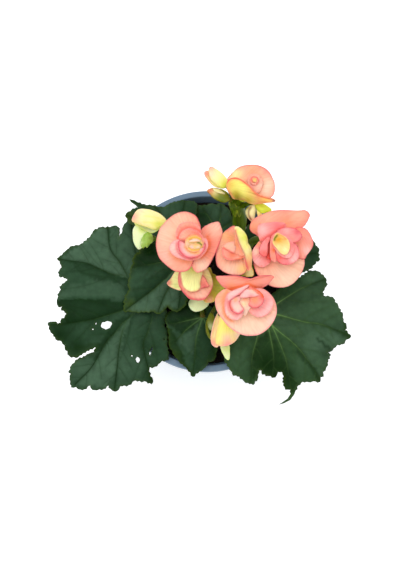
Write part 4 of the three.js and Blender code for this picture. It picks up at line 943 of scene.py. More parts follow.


# %% [markdown]
# ## Seven leaves, one at a time
# Each leaf is drawn: its hub and petiole, its margin anticlockwise, how far it falls in each
# direction, its main veins with the depth of the crease that they lie in, its folds, and the places where it
# was nibbled through. A cut margin has no formula, so it stays a list of the points that give it its shape.

# %% The left leaf
make_leaf(
    "leaf_left", hub=(-47, -18, 116), petiole=[(-45.6, -20.2, 115.4), (-30, -9, 109), (-12, 3, 103)],
    vein_strength=0.12,
    outline=[(-42.2, -70.6), (-38.6, -72.4), (-37.5, -69.2), (-39.6, -66.5), (-40.2, -62.4), (-39.8, -60.3),
        (-36.6, -60.3), (-34, -58.3), (-31.4, -56), (-27, -55.5), (-27, -51.6), (-28, -44.2), (-28, -35),
        (-30, -31), (-29.6, -27), (-28.4, -23), (-29, -18), (-33, -12.5), (-40, -12), (-41.5, -10.5),
        (-42.5, -4), (-44.5, 6), (-47, 16), (-49, 28), (-50.8, 40), (-54, 47), (-56, 45), (-58, 43),
        (-60, 40), (-61, 35), (-62.8, 31), (-62.2, 38.5), (-64, 40), (-66.2, 40.7), (-69.5, 39.5),
        (-76, 39.5), (-78.5, 38), (-80.7, 37.3), (-82, 35), (-84.2, 31.8), (-86, 29.8), (-90, 27.3),
        (-91.3, 26.2), (-96.2, 25.8), (-99.5, 23.4), (-101, 21.8), (-103.2, 19.2), (-106.6, 16.8),
        (-104.7, 14.5), (-103.2, 10), (-104.7, 7.9), (-105, 3.8), (-102, 3.4), (-98.7, 1.2), (-101, -1),
        (-104.3, -3.5), (-103.2, -6), (-104.6, -8.3), (-105.5, -12.3), (-105.7, -16), (-104.7, -18),
        (-102, -17.8), (-102.5, -20.7), (-100.5, -21), (-98.8, -23), (-100.3, -26), (-102.6, -27.3),
        (-102.5, -29.7), (-104.8, -30), (-108.2, -28.5), (-111.5, -29.3), (-110.8, -32), (-110, -34.8),
        (-107.8, -37.5), (-105.8, -41.2), (-101.6, -42.6), (-99.5, -45.3), (-99.3, -47.2), (-97.3, -49.5),
        (-96, -52.7), (-91.2, -54.2), (-81.6, -48), (-77.6, -46.8), (-79, -50), (-82.5, -51), (-85, -52.8),
        (-90, -54.9), (-92.3, -57.3), (-94.6, -59.5), (-95, -61.8), (-96.3, -63.2), (-94.6, -65),
        (-95.3, -67.8), (-94.8, -70.5), (-94.2, -74.6), (-90.5, -74.3), (-87.4, -76), (-85, -75.8),
        (-81, -73.2), (-80, -75.5), (-77.8, -76.4), (-71.4, -75.5), (-68.3, -73.2), (-66.9, -75.5),
        (-64.1, -77.3), (-61.4, -76.4), (-60.3, -73.7), (-54.1, -72.8), (-50, -69.7)],
    fall=[(0, 112), (60, 115), (95, 108), (125, 102), (160, 97), (190, 94), (230, 96), (262, 101),
        (300, 108)],
    veins=[
        ([(-52, -6), (-56, 3), (-62, 14), (-68.8, 23.5), (-71, 38)], 1.2),
        ([(-56, 2), (-66.3, 5), (-76.5, 9.3), (-84.8, 13), (-96, 14.8), (-104, 16)], 2.2),
        ([(-60, -21), (-77.5, -26.5), (-85, -28), (-98, -30), (-109, -31)], 2.4),
        ([(-51.5, -23.5), (-59.4, -30), (-64.8, -37), (-70, -42.3), (-80, -60), (-91, -72)], 3.2),
        ([(-57, -29), (-61, -45), (-62.5, -60), (-64, -75)], 1.2),
        ([(-38.5, -23), (-42, -37), (-44.5, -46), (-39, -69)], 1.6),
        ([(-48, 6), (-52, 28), (-54.5, 44)], 1),
    ],
    folds=[([(-106, -13), (-90, -12.5), (-75, -13), (-62, -14)], 4.2, 5.5), ([(-100, 5), (-85, 2),
        (-70, -2)], 1.5, 4)],
    holes=[(-70.7, -31, 8, 5.5, 10), (-78, -30, 1.1, 1.3, 0), (-80, -34, 1.2, 1, 30),
        (-52.5, -52.6, 1.1, 1, 0), (-48.3, -55.3, 3, 4.2, 20), (-39.2, -49.2, 1.5, 6.4, -18),
        (-29.9, -41, 0.9, 0.9, 0)],
    # The dark green washes and facets below are painted shade, and the grey-green ones are painted sheen.
    washes=[(-66, -60, 14, "painted_leaf_sheen", 0.4), (-86, -62, 10, "painted_leaf_sheen", 0.4), (-103, -38, 9, "painted_leaf_shade", 0.9),
        (-90, -46, 7, "painted_leaf_shade", 0.8), (-98, -25, 8, "painted_leaf_shade", 0.5), (-38, -46, 6, "painted_leaf_shade", 0.4),
        (-48, -58, 8, "painted_leaf_sheen", 0.2), (-40, -66, 5, "painted_leaf_shade", 0.5), (-76, -34, 8, "painted_leaf_shade", 0.4)],
    facets=[
        ([(-56, 2), (-66.3, 5), (-84.8, 13), (-104, 16), (-90, 27), (-78, 38), (-71, 38), (-68.8, 23.5),
          (-62, 14)], "painted_leaf_sheen", 0.65),
        ([(-50, 0), (-56, 3), (-62, 14), (-68.8, 23.5), (-70, 38), (-54, 46), (-50, 28)], "painted_leaf_sheen", 0.4),
        ([(-56, 1.4), (-66.3, 4.4), (-84.8, 12.4), (-98, 14.4), (-90, 6), (-70, -3)], "painted_leaf_shade", 0.4),
        ([(-106, -13), (-90, -10.5), (-75, -11), (-56, -12), (-60, -2), (-76, 1), (-96, -2)], "painted_leaf_sheen", 0.25),
        ([(-106, -13.6), (-90, -12.5), (-75, -13), (-52, -14), (-50, -18), (-60, -21), (-77.5, -26.5),
          (-98, -30)], "painted_leaf_shade", 0.8),
        ([(-52, -24), (-64.8, -37.6), (-74, -50), (-91, -73), (-70, -74), (-62, -60), (-58, -38)], "painted_leaf_sheen",
          0.45),
        ([(-114, -38), (-106, -43), (-96, -46.6), (-80, -44), (-72, -44), (-78, -50), (-92, -57),
          (-104, -54)], "painted_deep_leaf_shade", 0.5),
        ([(-51, -22.6), (-64.4, -35.6), (-70, -42.3), (-78, -56), (-84, -52), (-76, -44), (-64, -28)], "painted_leaf_shade",
          0.5),
    ],
)

# %% The middle leaf
make_leaf(
    "leaf_middle", hub=(-18, 14, 130), petiole=[(-17.3, 8.4, 129.4), (-15, 6, 122), (-12, 3, 113)],
    vein_strength=0.3, edge=0.5, spacing=11,
    outline=[(-15.7, -17.6), (-13.5, -12), (-12.8, -4), (-13.2, 4), (-15, 10), (-16, 13), (-14.4, 17),
        (-9, 21), (-9, 27), (-17, 30), (-28, 32), (-40, 30), (-44, 26), (-47.3, 23.4), (-48, 21), (-50.5, 20),
        (-52.8, 16.7), (-52.4, 13), (-53.9, 10), (-54.1, 6.5), (-55.2, 2.3), (-56.2, -1.9), (-55, -6),
        (-57.4, -9.5), (-58.5, -13.2), (-58, -16), (-58.6, -19.1), (-58.2, -21.4), (-54.4, -21.5),
        (-49.5, -22), (-42.8, -21.7), (-37.6, -21.5), (-34.7, -23.2), (-31.3, -21.7), (-29.6, -19.7),
        (-27.6, -17.5), (-26.1, -19.7), (-22.7, -21.2), (-20.3, -21.2), (-17.5, -19.1)],
    fall=[(0, 127), (90, 126), (150, 124), (180, 123), (220, 119.5), (260, 120), (300, 124)],
    veins=[
        ([(-27.4, 3.5), (-33, -1.3), (-38.9, -6.7), (-50, -14.8), (-57.5, -20.6)], 3),
        ([(-30, 14), (-42, 12), (-53, 10)], 1.6),
        ([(-26, 20), (-36, 24), (-44, 25)], 1.2),
        ([(-22, 2), (-29, -8), (-34.5, -21.5)], 1.8),
        ([(-17.5, 0), (-19, -10), (-20.5, -20)], 1.6),
    ], folds=[([(-52, 6), (-40, 5), (-32, 6)], 1.6, 4)],
    # The dark green washes and facets are painted shade, and the grey-green facet is painted sheen.
    washes=[(-40, 23, 10, "painted_leaf_shade", 1), (-50, 17, 6, "painted_leaf_shade", 0.7), (-54, -16, 3.5, "leaf_gold", 0.6),
        (-16, -16, 5, "painted_leaf_shade", 0.3)],
    facets=[
        ([(-19, 13), (-33, -1.8), (-38.9, -7.2), (-50, -15.4), (-57.5, -21), (-35, -22), (-28, -17),
          (-20, -20)], "painted_leaf_sheen", 0.6),
        ([(-18, 14), (-33, -0.6), (-38.9, -6), (-50, -14), (-53, -6), (-42, 2), (-30, 10)], "painted_leaf_shade", 0.4),
        ([(-53, 10.6), (-42, 12.6), (-28, 14), (-18, 14), (-30, 30), (-50, 20)], "painted_leaf_shade", 0.7),
    ],
)

# %% The front leaf
make_leaf(
    "leaf_front", hub=(-3, -25.5, 118), petiole=[(-3.1, -27.4, 117.4), (-5, -14, 111), (-10.6, 1, 104)],
    vein_strength=0.4, edge=0.25, spacing=10,
    outline=[(-10, -67.2), (-7.8, -65), (-5.5, -63.4), (-3.8, -63), (-2.5, -61.5), (-0.2, -59.2),
        (0.6, -56.7), (3.6, -56.3), (5.5, -54.2), (6.5, -50.1), (7, -46.7), (9, -40), (9.5, -32), (9, -25),
        (6, -19), (0.5, -17.5), (-2, -22), (-4, -21), (-8, -15), (-15, -14), (-22, -17.5), (-25, -21),
        (-27.4, -22.5), (-28.8, -25), (-29.5, -27.9), (-28.2, -31), (-27.8, -34.8), (-26.6, -38),
        (-26.9, -43.2), (-26.3, -46.2), (-24.2, -49), (-22.9, -52.4), (-19.8, -56.2), (-17, -58.6),
        (-14, -61.9), (-11.7, -64.1)],
    fall=[(0, 113), (90, 117), (150, 115), (190, 114), (225, 110), (262, 104), (300, 108)],
    veins=[
        ([(-6.7, -36), (-8.2, -44.4), (-8.6, -54), (-10, -65.5)], 2.2),
        ([(-13, -27.6), (-23.6, -30), (-29, -28.4)], 1.2),
        ([(-13, -33), (-21, -41), (-26, -45.6)], 1.4),
        ([(1.5, -36), (4, -45), (5.5, -52.5)], 1.4),
        ([(3, -28), (8.6, -33)], 0.8),
    ],
    # The dark green washes and facets are painted shade, and the grey-green facet is painted sheen.
    washes=[(-15, -21, 9, "painted_leaf_shade", 1), (-4, -20, 7, "painted_leaf_shade", 1), (-22, -52, 3.5, "leaf_gold", 0.6),
        (5, -36, 6, "painted_leaf_shade", 0.5)],
    facets=[
        ([(-5, -27), (-7.2, -36), (-8.8, -44.4), (-9.4, -52), (-13, -50), (-19, -43), (-22, -36),
          (-17.7, -37.2), (-12, -36.2), (-7.8, -32.6)], "painted_leaf_sheen", 0.3),
        ([(-4, -24.6), (-7.8, -31.9), (-12, -35.5), (-17.7, -36.6), (-25.4, -31.9), (-30, -27), (-28.3, -19),
          (-15.5, -13), (-4, -19)], "painted_leaf_shade", 0.8),
        ([(-30, -33), (-25.4, -32.6), (-22.6, -38), (-20, -45), (-16, -54), (-10, -68), (-22, -60),
          (-30, -46)], "painted_deep_leaf_shade", 0.8),
        ([(-2.4, -26), (-6, -36), (-7.4, -44.4), (-8, -54), (-8, -64), (6, -54), (9, -36), (3, -26)], "painted_leaf_shade",
          0.5),
        ([(0, -34), (3, -46), (-1, -57), (2, -60), (10, -52), (11, -36), (5, -27)], "painted_deep_leaf_shade", 0.5),
    ],
)

# %% The right leaf
make_leaf(
    "leaf_right", hub=(40, -22.5, 120), petiole=[(38.6, -24.8, 119.4), (30, -11, 112), (18.4, 0, 104)],
    face="leaf_fresh", vein_strength=0.9, spacing=13, bare=((54.5, -83), 7.5),
    outline=[(11.8, -50), (12, -55.8), (15.2, -60.6), (17.1, -63.8), (17.9, -66.4), (20, -66.2), (22.3, -67),
        (25, -69.8), (28.2, -71.4), (31.8, -72.8), (33.4, -70.2), (35.1, -68.6), (35.2, -65.6), (36, -62.8),
        (37.6, -62.6), (38.2, -65.6), (40, -65.4), (42, -66.6), (44, -66.6), (46, -67.8), (48.4, -65.8),
        (49.2, -63.7), (52, -63.8), (53.2, -67), (52.7, -69.4), (53, -71.8), (53.8, -75.9), (57.8, -76.1),
        (57.8, -78.8), (55.7, -82), (52.9, -84), (49.3, -86.3), (52.9, -85.4), (57.2, -83.2), (60.2, -79),
        (61.1, -76.5), (63.2, -73), (66.1, -70.6), (70, -70.8), (74.9, -70.3), (78.3, -70.6), (78.6, -67.4),
        (80.7, -67), (80.4, -63.8), (82.6, -60.8), (83.7, -57.4), (84.1, -55), (86.2, -51.8), (83.2, -49.4),
        (85.4, -50), (87.1, -49.2), (88.3, -47.4), (90.8, -45), (94.8, -44.6), (97.4, -41.2), (100.6, -39.3),
        (98.6, -36.8), (96.7, -34.4), (97.6, -31.5), (95.6, -28.2), (95.5, -24), (93.8, -21.6), (92.3, -17.5),
        (90, -14.7), (89.2, -12), (86.7, -11), (82, -10), (81.5, -7.7), (84.3, -3.5), (84.6, 1), (83, 3.4),
        (81, 5.2), (78.2, 7.4), (73, 8), (66, 3), (56, -2), (47, -8), (42.5, -14), (40, -18.5), (37, -14),
        (30, -8), (23, -8), (17, -12), (13.5, -20), (12, -30), (11.5, -40)],
    fall=[(0, 102), (345, 98), (315, 97), (287, 97), (258, 102.5), (230, 107), (200, 112), (150, 115),
        (90, 117), (35, 105)],
    veins=[
        ([(49, -16), (63, -7), (71, -3), (83, 1.5)], 1.8),
        ([(50.6, -24), (67.7, -28.7), (79, -30.3), (94.5, -36.4), (99.5, -39)], 2),
        ([(46.5, -32), (62.5, -46), (73.7, -61.4), (78, -69.5)], 2.2),
        ([(45.6, -32), (51, -44.6), (55, -56.6), (57.8, -75)], 1.8),
        ([(43.5, -36), (46.3, -53.4), (45.4, -66)], 1.6),
        ([(35, -39.7), (31.4, -53.4), (30.2, -70)], 2),
        ([(28, -32), (18, -44), (14, -56)], 1.4),
    ], folds=[([(36, -48), (38, -60)], 1.6, 4), ([(60, -34), (76, -46), (84, -50)], 1.4, 4.5)],
    # The dark green washes and facets are painted shade, and the grey-green ones are painted sheen.
    washes=[(42, -58, 9, "painted_leaf_shade", 0.95), (49, -66, 7, "painted_leaf_shade", 0.8), (57, -66, 6, "painted_leaf_shade", 0.5),
        (83, -50, 5, "painted_leaf_shade", 0.85), (62, 2, 6, "painted_leaf_shade", 0.7), (96, -33, 7, "painted_leaf_shade", 0.6),
        (76, -43, 8, "painted_leaf_sheen", 0.45), (89, -40, 5, "painted_leaf_sheen", 0.5), (76, 0, 8, "painted_leaf_sheen", 0.4),
        (53, -8, 8, "painted_leaf_shade", 0.5), (22, -56, 8, "painted_leaf_sheen", 0.2), (66, -58, 7, "painted_leaf_sheen", 0.2)],
    facets=[
        ([(41, -22), (50.6, -23.4), (67.7, -28), (79, -29.6), (96, -36), (94, -18), (84, -9), (66, -4),
          (49, -15.4)], "painted_leaf_sheen", 0.3),
        ([(42, -24), (52, -36), (62.5, -46.6), (73.7, -62), (78, -69), (86, -52), (98, -41), (79, -31),
          (60, -28)], "painted_leaf_sheen", 0.3),
        ([(44, -33.8), (36, -41), (32.1, -51.2), (31.2, -72), (36, -62), (46, -70), (50.1, -63), (52, -77),
          (60.2, -79), (62.2, -71.7), (56.1, -60.4), (49, -46)], "painted_deep_leaf_shade", 0.7),
        ([(62.2, -48.4), (66.2, -51.4), (72.3, -58.4), (82.4, -70.7), (79, -71.7), (70.2, -61.6)], "painted_leaf_shade",
          0.5),
        ([(74.3, -37.9), (80.4, -42), (87, -48), (86.6, -51.4), (82.4, -46.4), (76.3, -41.2)], "painted_leaf_shade", 0.6),
        ([(85, 2), (71, -3.6), (63, -7.6), (49, -16.6), (52, -21), (66, -16), (82, -11)], "painted_leaf_shade", 0.3),
    ],
)

# %% The right back leaf
make_leaf(
    "leaf_right_back", hub=(48, 22, 115), petiole=[(46.8, 19, 114.4), (32, 9, 109), (18.4, 1, 102)],
    spacing=9,
    outline=[(73.8, 9.2), (75, 11.4), (76.7, 12.2), (77.6, 14.6), (80, 15.2), (79.3, 20.5), (80, 22.6),
        (79, 24.7), (77.2, 26.4), (76.2, 28.9), (70, 34), (63, 38), (54, 40), (45, 41), (37, 43), (30, 41.5),
        (26.4, 36), (29, 29.5), (37, 24.5), (45, 19.5), (42, 12), (46, 5), (55, 3), (65, 5)],
    fall=[(0, 107), (60, 108), (120, 112), (180, 114), (270, 112), (330, 109)],
    veins=[
        ([(60, 21), (70, 20), (79, 20.4)], 1.4),
        ([(58, 28), (69, 34)], 1.2),
        ([(57, 14), (66, 6)], 1.2),
        ([(41, 30), (34, 38)], 1.2),
    # The dark green washes are painted shade.
    ], washes=[(36, 34, 12, "painted_leaf_shade", 0.7), (73, 18, 7, "painted_leaf_shade", 0.4)],
)

# %% The back left leaf
make_leaf(
    "leaf_back_left", hub=(-23, 30, 116), petiole=[(-22.5, 27, 115.4), (-18, 16, 108), (-11, 4, 100)],
    spacing=9, bare=((-54, 57), 5),
    outline=[(-12, 22), (-8, 30), (-8, 38), (-8.5, 46), (-6.8, 56), (-8.2, 57.7), (-11.2, 58.7), (-16, 59.3),
        (-19.5, 59), (-24.9, 57.7), (-27.9, 56.2), (-31.5, 54.3), (-36.3, 54.9), (-40, 56), (-44, 56.2),
        (-49.5, 57.8), (-52, 59.4), (-56, 60.2), (-54.6, 58.2), (-51.6, 56), (-49.5, 53.6), (-53.4, 53.4),
        (-55, 51.4), (-56.7, 50.9), (-58.8, 48.1), (-58, 46.6), (-57.2, 45.7), (-56, 42.6), (-52.7, 40.8),
        (-48, 38), (-41, 33), (-34, 24), (-28, 20), (-22, 21), (-19.4, 25.5)],
    fall=[(300, 113), (0, 112), (50, 110), (80, 108), (110, 110), (137, 113), (160, 115), (200, 115),
        (250, 114)],
    veins=[
        ([(-35, 38), (-46, 44), (-57, 48)], 1.4),
        ([(-29, 40), (-34, 50), (-37, 54)], 1.6),
        ([(-20, 42), (-17, 52), (-16, 58.6)], 1.4),
        ([(-32, 44), (-43, 53), (-54, 59)], 1.4),
    ],
    # The darkest green washes are painted shade, and the grey-green one is painted sheen.
    washes=[(-12, 46, 7, "painted_leaf_shade", 0.5), (-46, 42, 6, "painted_leaf_shade", 0.7), (-56, 47, 4, "moss", 0.9),
        (-40, 54, 4, "moss", 0.3), (-28, 52, 7, "painted_leaf_sheen", 0.2)],
)

# %% The back leaf
make_leaf(
    "leaf_back", hub=(8, 36, 110), petiole=[(7.9, 33.4, 109.4), (10.4, 28, 104), (13, 22, 99)],
    spacing=8,
    outline=[(15, 31), (18, 35), (19, 42), (17, 50), (15.4, 53), (13.3, 54.6), (11.4, 56.6), (9.7, 57.1),
        (7.4, 56.2), (5.5, 56.5), (2, 56.8), (0, 55.6), (-3.5, 55.4), (-6.2, 55.6), (-9, 46), (-10, 39),
        (-7, 32), (0, 26), (6, 27), (9.2, 33)],
    fall=[(0, 108), (60, 107), (100, 106), (140, 106), (180, 106.5), (260, 108)],
    veins=[
        ([(9, 44), (10, 52), (10, 56.6)], 1.2),
        ([(3, 44), (-2, 52), (-3.6, 55)], 1.2),
        ([(13, 40), (17.6, 44)], 0.8),
    # The dark green washes are painted shade, and the grey-green one is painted sheen.
    ], washes=[(-4, 48, 5, "painted_leaf_shade", 1), (-3, 40, 6, "painted_leaf_shade", 0.9), (9, 52, 6, "painted_leaf_sheen", 0.2)],
)

# %% [markdown]
# ## Petals
# Each petal is a soft bowl with a closed, rounded margin. It could be sculpted, but a drawn margin says best
# where its rim shows in the layered rosette. A square grid is pressed into a disc inside that margin, so that
# the mesh is even and has no pole. The rim rolls outwards a little and ripples, as a living petal's does. The
# inner petals stand up from the bloom's foot, so their undersides are drawn down to it like small cups.

# %% A margin and a disc inside it
GRID = 30
FINER_RIM = 1.5


def closed_curve(corners, turn):
    """Points on a smooth closed curve through the corners, with turn from 0 to 1 once round anticlockwise."""
    u, v = corners.T[:2]
    if (u * np.roll(v, -1) - v * np.roll(u, -1)).sum() < 0:
        corners = corners[::-1]
    place = (turn % 1) * len(corners)
    first = np.floor(place).astype(int)
    around = (corners[(first + shift) % len(corners)] for shift in (-1, 0, 1, 2))
    return curved(*around, (place - first)[:, None])


def disc_grid(grid):
    """A square grid pressed into a disc, finer near its rim: its corners' radius and turn, and its faces."""
    a, b = np.meshgrid(np.linspace(-1, 1, grid + 1), np.linspace(-1, 1, grid + 1))
    x, y = (a * np.sqrt(1 - b**2 / 2)).ravel(), (b * np.sqrt(1 - a**2 / 2)).ravel()
    corner = np.arange((grid + 1) ** 2).reshape(grid + 1, grid + 1)
    faces = np.stack([corner[:-1, :-1], corner[:-1, 1:], corner[1:, 1:], corner[1:, :-1]], axis=-1)
    radius = 1 - (1 - np.minimum(1, np.hypot(x, y))) ** FINER_RIM
    turn = (np.arctan2(y, x) / (2 * np.pi)) % 1
    return radius, turn, [tuple(face) for face in faces.reshape(-1, 4)]


print("corners on a petal's face:", (GRID + 1) ** 2)

# %% A petal from its margin
PETAL_THICKNESS = 0.55
ROLL_START = 0.72
RIPPLE = {"broad": 5, "fine": 11, "fine_share": 0.6}
MARGIN = 0.65
FLUSH_START = 0.45
PETAL_GRAIN = {"fan": 20, "along": 0.12, "apart": 7.3}
CUP_HEIGHT = 3
PETAL = {"face": "salmon", "rim": "pink", "back": "peach", "flush": 0.2, "line": 0.8, "level": 0, "belly": 0,
         "bowl": 2, "lip": 0.6, "ripple": 0.35, "washes": (), "strokes": ()}


def petal_height(petal, mid, rim, radius, turn):
    """The bowl between middle and margin, with its rolled and rippled lip."""
    rise = mix(mid[2], rim[:, 2], radius ** petal["bowl"])
    ripple = np.sin(2 * np.pi * RIPPLE["broad"] * turn + mid[0])
    ripple += RIPPLE["fine_share"] * np.sin(2 * np.pi * RIPPLE["fine"] * turn + mid[1])
    return rise + smooth(ROLL_START, 1.0, radius) * (petal["ripple"] * ripple - petal["lip"])


def petal_tints(petal, u, v, radius, to_margin):
    """Top, under and rim tints: a flush and a fine line near the margin, then washes and strokes."""
    flush = smooth(FLUSH_START, 1.0, radius) ** 2 * petal["flush"]
    top = painted(COLOURS[petal["face"]], petal["rim"], flush)
    top = painted(top, petal["rim"], petal["line"] * bell(to_margin, MARGIN))
    top = washed(top, u, v, petal["washes"])
    # Strokes in the folds and between the rings are partly the petal's own flush and lines, and partly
    # painted glow and shade of light bouncing between the petals.
    for line, width, colour, strength in petal["strokes"]:
        gap = distance_to(np.column_stack([u, v]), [smooth_line(line, 1)])[0]
        top = painted(top, colour, strength * bell(gap, width))
    return top, painted(top, petal["back"], 0.5), painted(top, petal["rim"], petal["line"])


def cup_wall(under, radius, foot):
    """Draws the underside of an inner petal down to the bloom's foot, as the wall of a small cup."""
    across = mix(foot[:2], under[:, :2], radius[:, None])
    return np.column_stack([across, mix(foot[2], under[:, 2], radius**3)])


def petal_part(petal, base, foot=None, grid=GRID):
    """One petal or valve as a closed part. A petal that stands high over the bloom's foot becomes a cup."""
    petal = {**PETAL, **petal}
    radius, turn, faces = disc_grid(grid)
    corners = np.array([with_height(corner, petal["level"]) for corner in petal["edge"]], float)
    rim = closed_curve(corners, turn)
    mid = with_height(petal["mid"])
    u, v = mix(mid[0], rim[:, 0], radius), mix(mid[1], rim[:, 1], radius)
    real = seen_at(u, v, base + petal_height(petal, mid, rim, radius, turn))
    thickness = PETAL_THICKNESS + petal["belly"] * np.sqrt(np.maximum(0, 1 - radius**2))
    to_margin = (1 - radius) * np.hypot(rim[:, 0] - mid[0], rim[:, 1] - mid[1])
    tints = petal_tints(petal, u, v, radius, to_margin)
    root = corners[-1]
    fan = np.arctan2(v - root[1], u - root[0])
    away = np.hypot(u - root[0], v - root[1])
    layer = np.full(len(u), PETAL_GRAIN["apart"] * mid[0] + mid[1])
    grain = np.column_stack([fan * PETAL_GRAIN["fan"], away * PETAL_GRAIN["along"], layer])
    part = closed_sheet(real, faces, thickness, *tints, grain)
    if foot is not None and petal.get("cup", mid[2] > CUP_HEIGHT):
        part["points"][len(real):] = cup_wall(part["points"][len(real):], radius, foot)
    return part


# %% [markdown]
# ## Six blooms
# A double begonia opens from the outside in: broad pale outer tepals, then smaller and pinker ones that turn
# into a rosette round a yellow heart. Every bloom here is drawn petal by petal from its outermost one, with
# the middle and the margin of each as (u, v, height over the bloom's base). A margin point that gives no
# height lies at the petal's level. Washes and strokes then say where a colour lies on it. In the folds and
# between the rings they are partly the petals' own flush and partly painted glow and shade of the light that
# bounces between the petals.

# %% From drawings to a bloom
RECEPTACLE = {"radius": 4.2, "depth": 5, "dome": 0.8, "sides": 20}
SEAT_DEPTH = 1.2
seats = {}


def receptacle(foot):
    """The green cushion on the flower stalk that the petals grow from."""
    radius, depth, dome, sides = RECEPTACLE.values()
    profile = [(0, -depth), (0.55 * radius, -depth), (0.8 * radius, -0.75 * depth), (radius, -0.45 * depth)]
    profile += [(0.8 * radius, -0.25 * depth), (0.5 * radius, -dome), (0, -dome)]
    points, faces = turned(profile, sides)
    return plain_part(points + foot, faces, mix(COLOURS["lime"], COLOURS["olive"], 0.4))


def make_bloom(name, base, centre, petals):
    """A bloom as one piece. Its stalk's seat lies inside the receptacle."""
    u, v, rise = with_height(centre)
    foot = seen_at(u, v, base + rise)
    parts = [receptacle(foot)] + [petal_part(petal, base, foot) for petal in petals]
    make_piece(name + "_petals", joined(parts), petal_skin, [name])
    seats[name] = seen_at(u, v, base + rise - RECEPTACLE["depth"] + SEAT_DEPTH)
    print(name, len(petals), "petals")


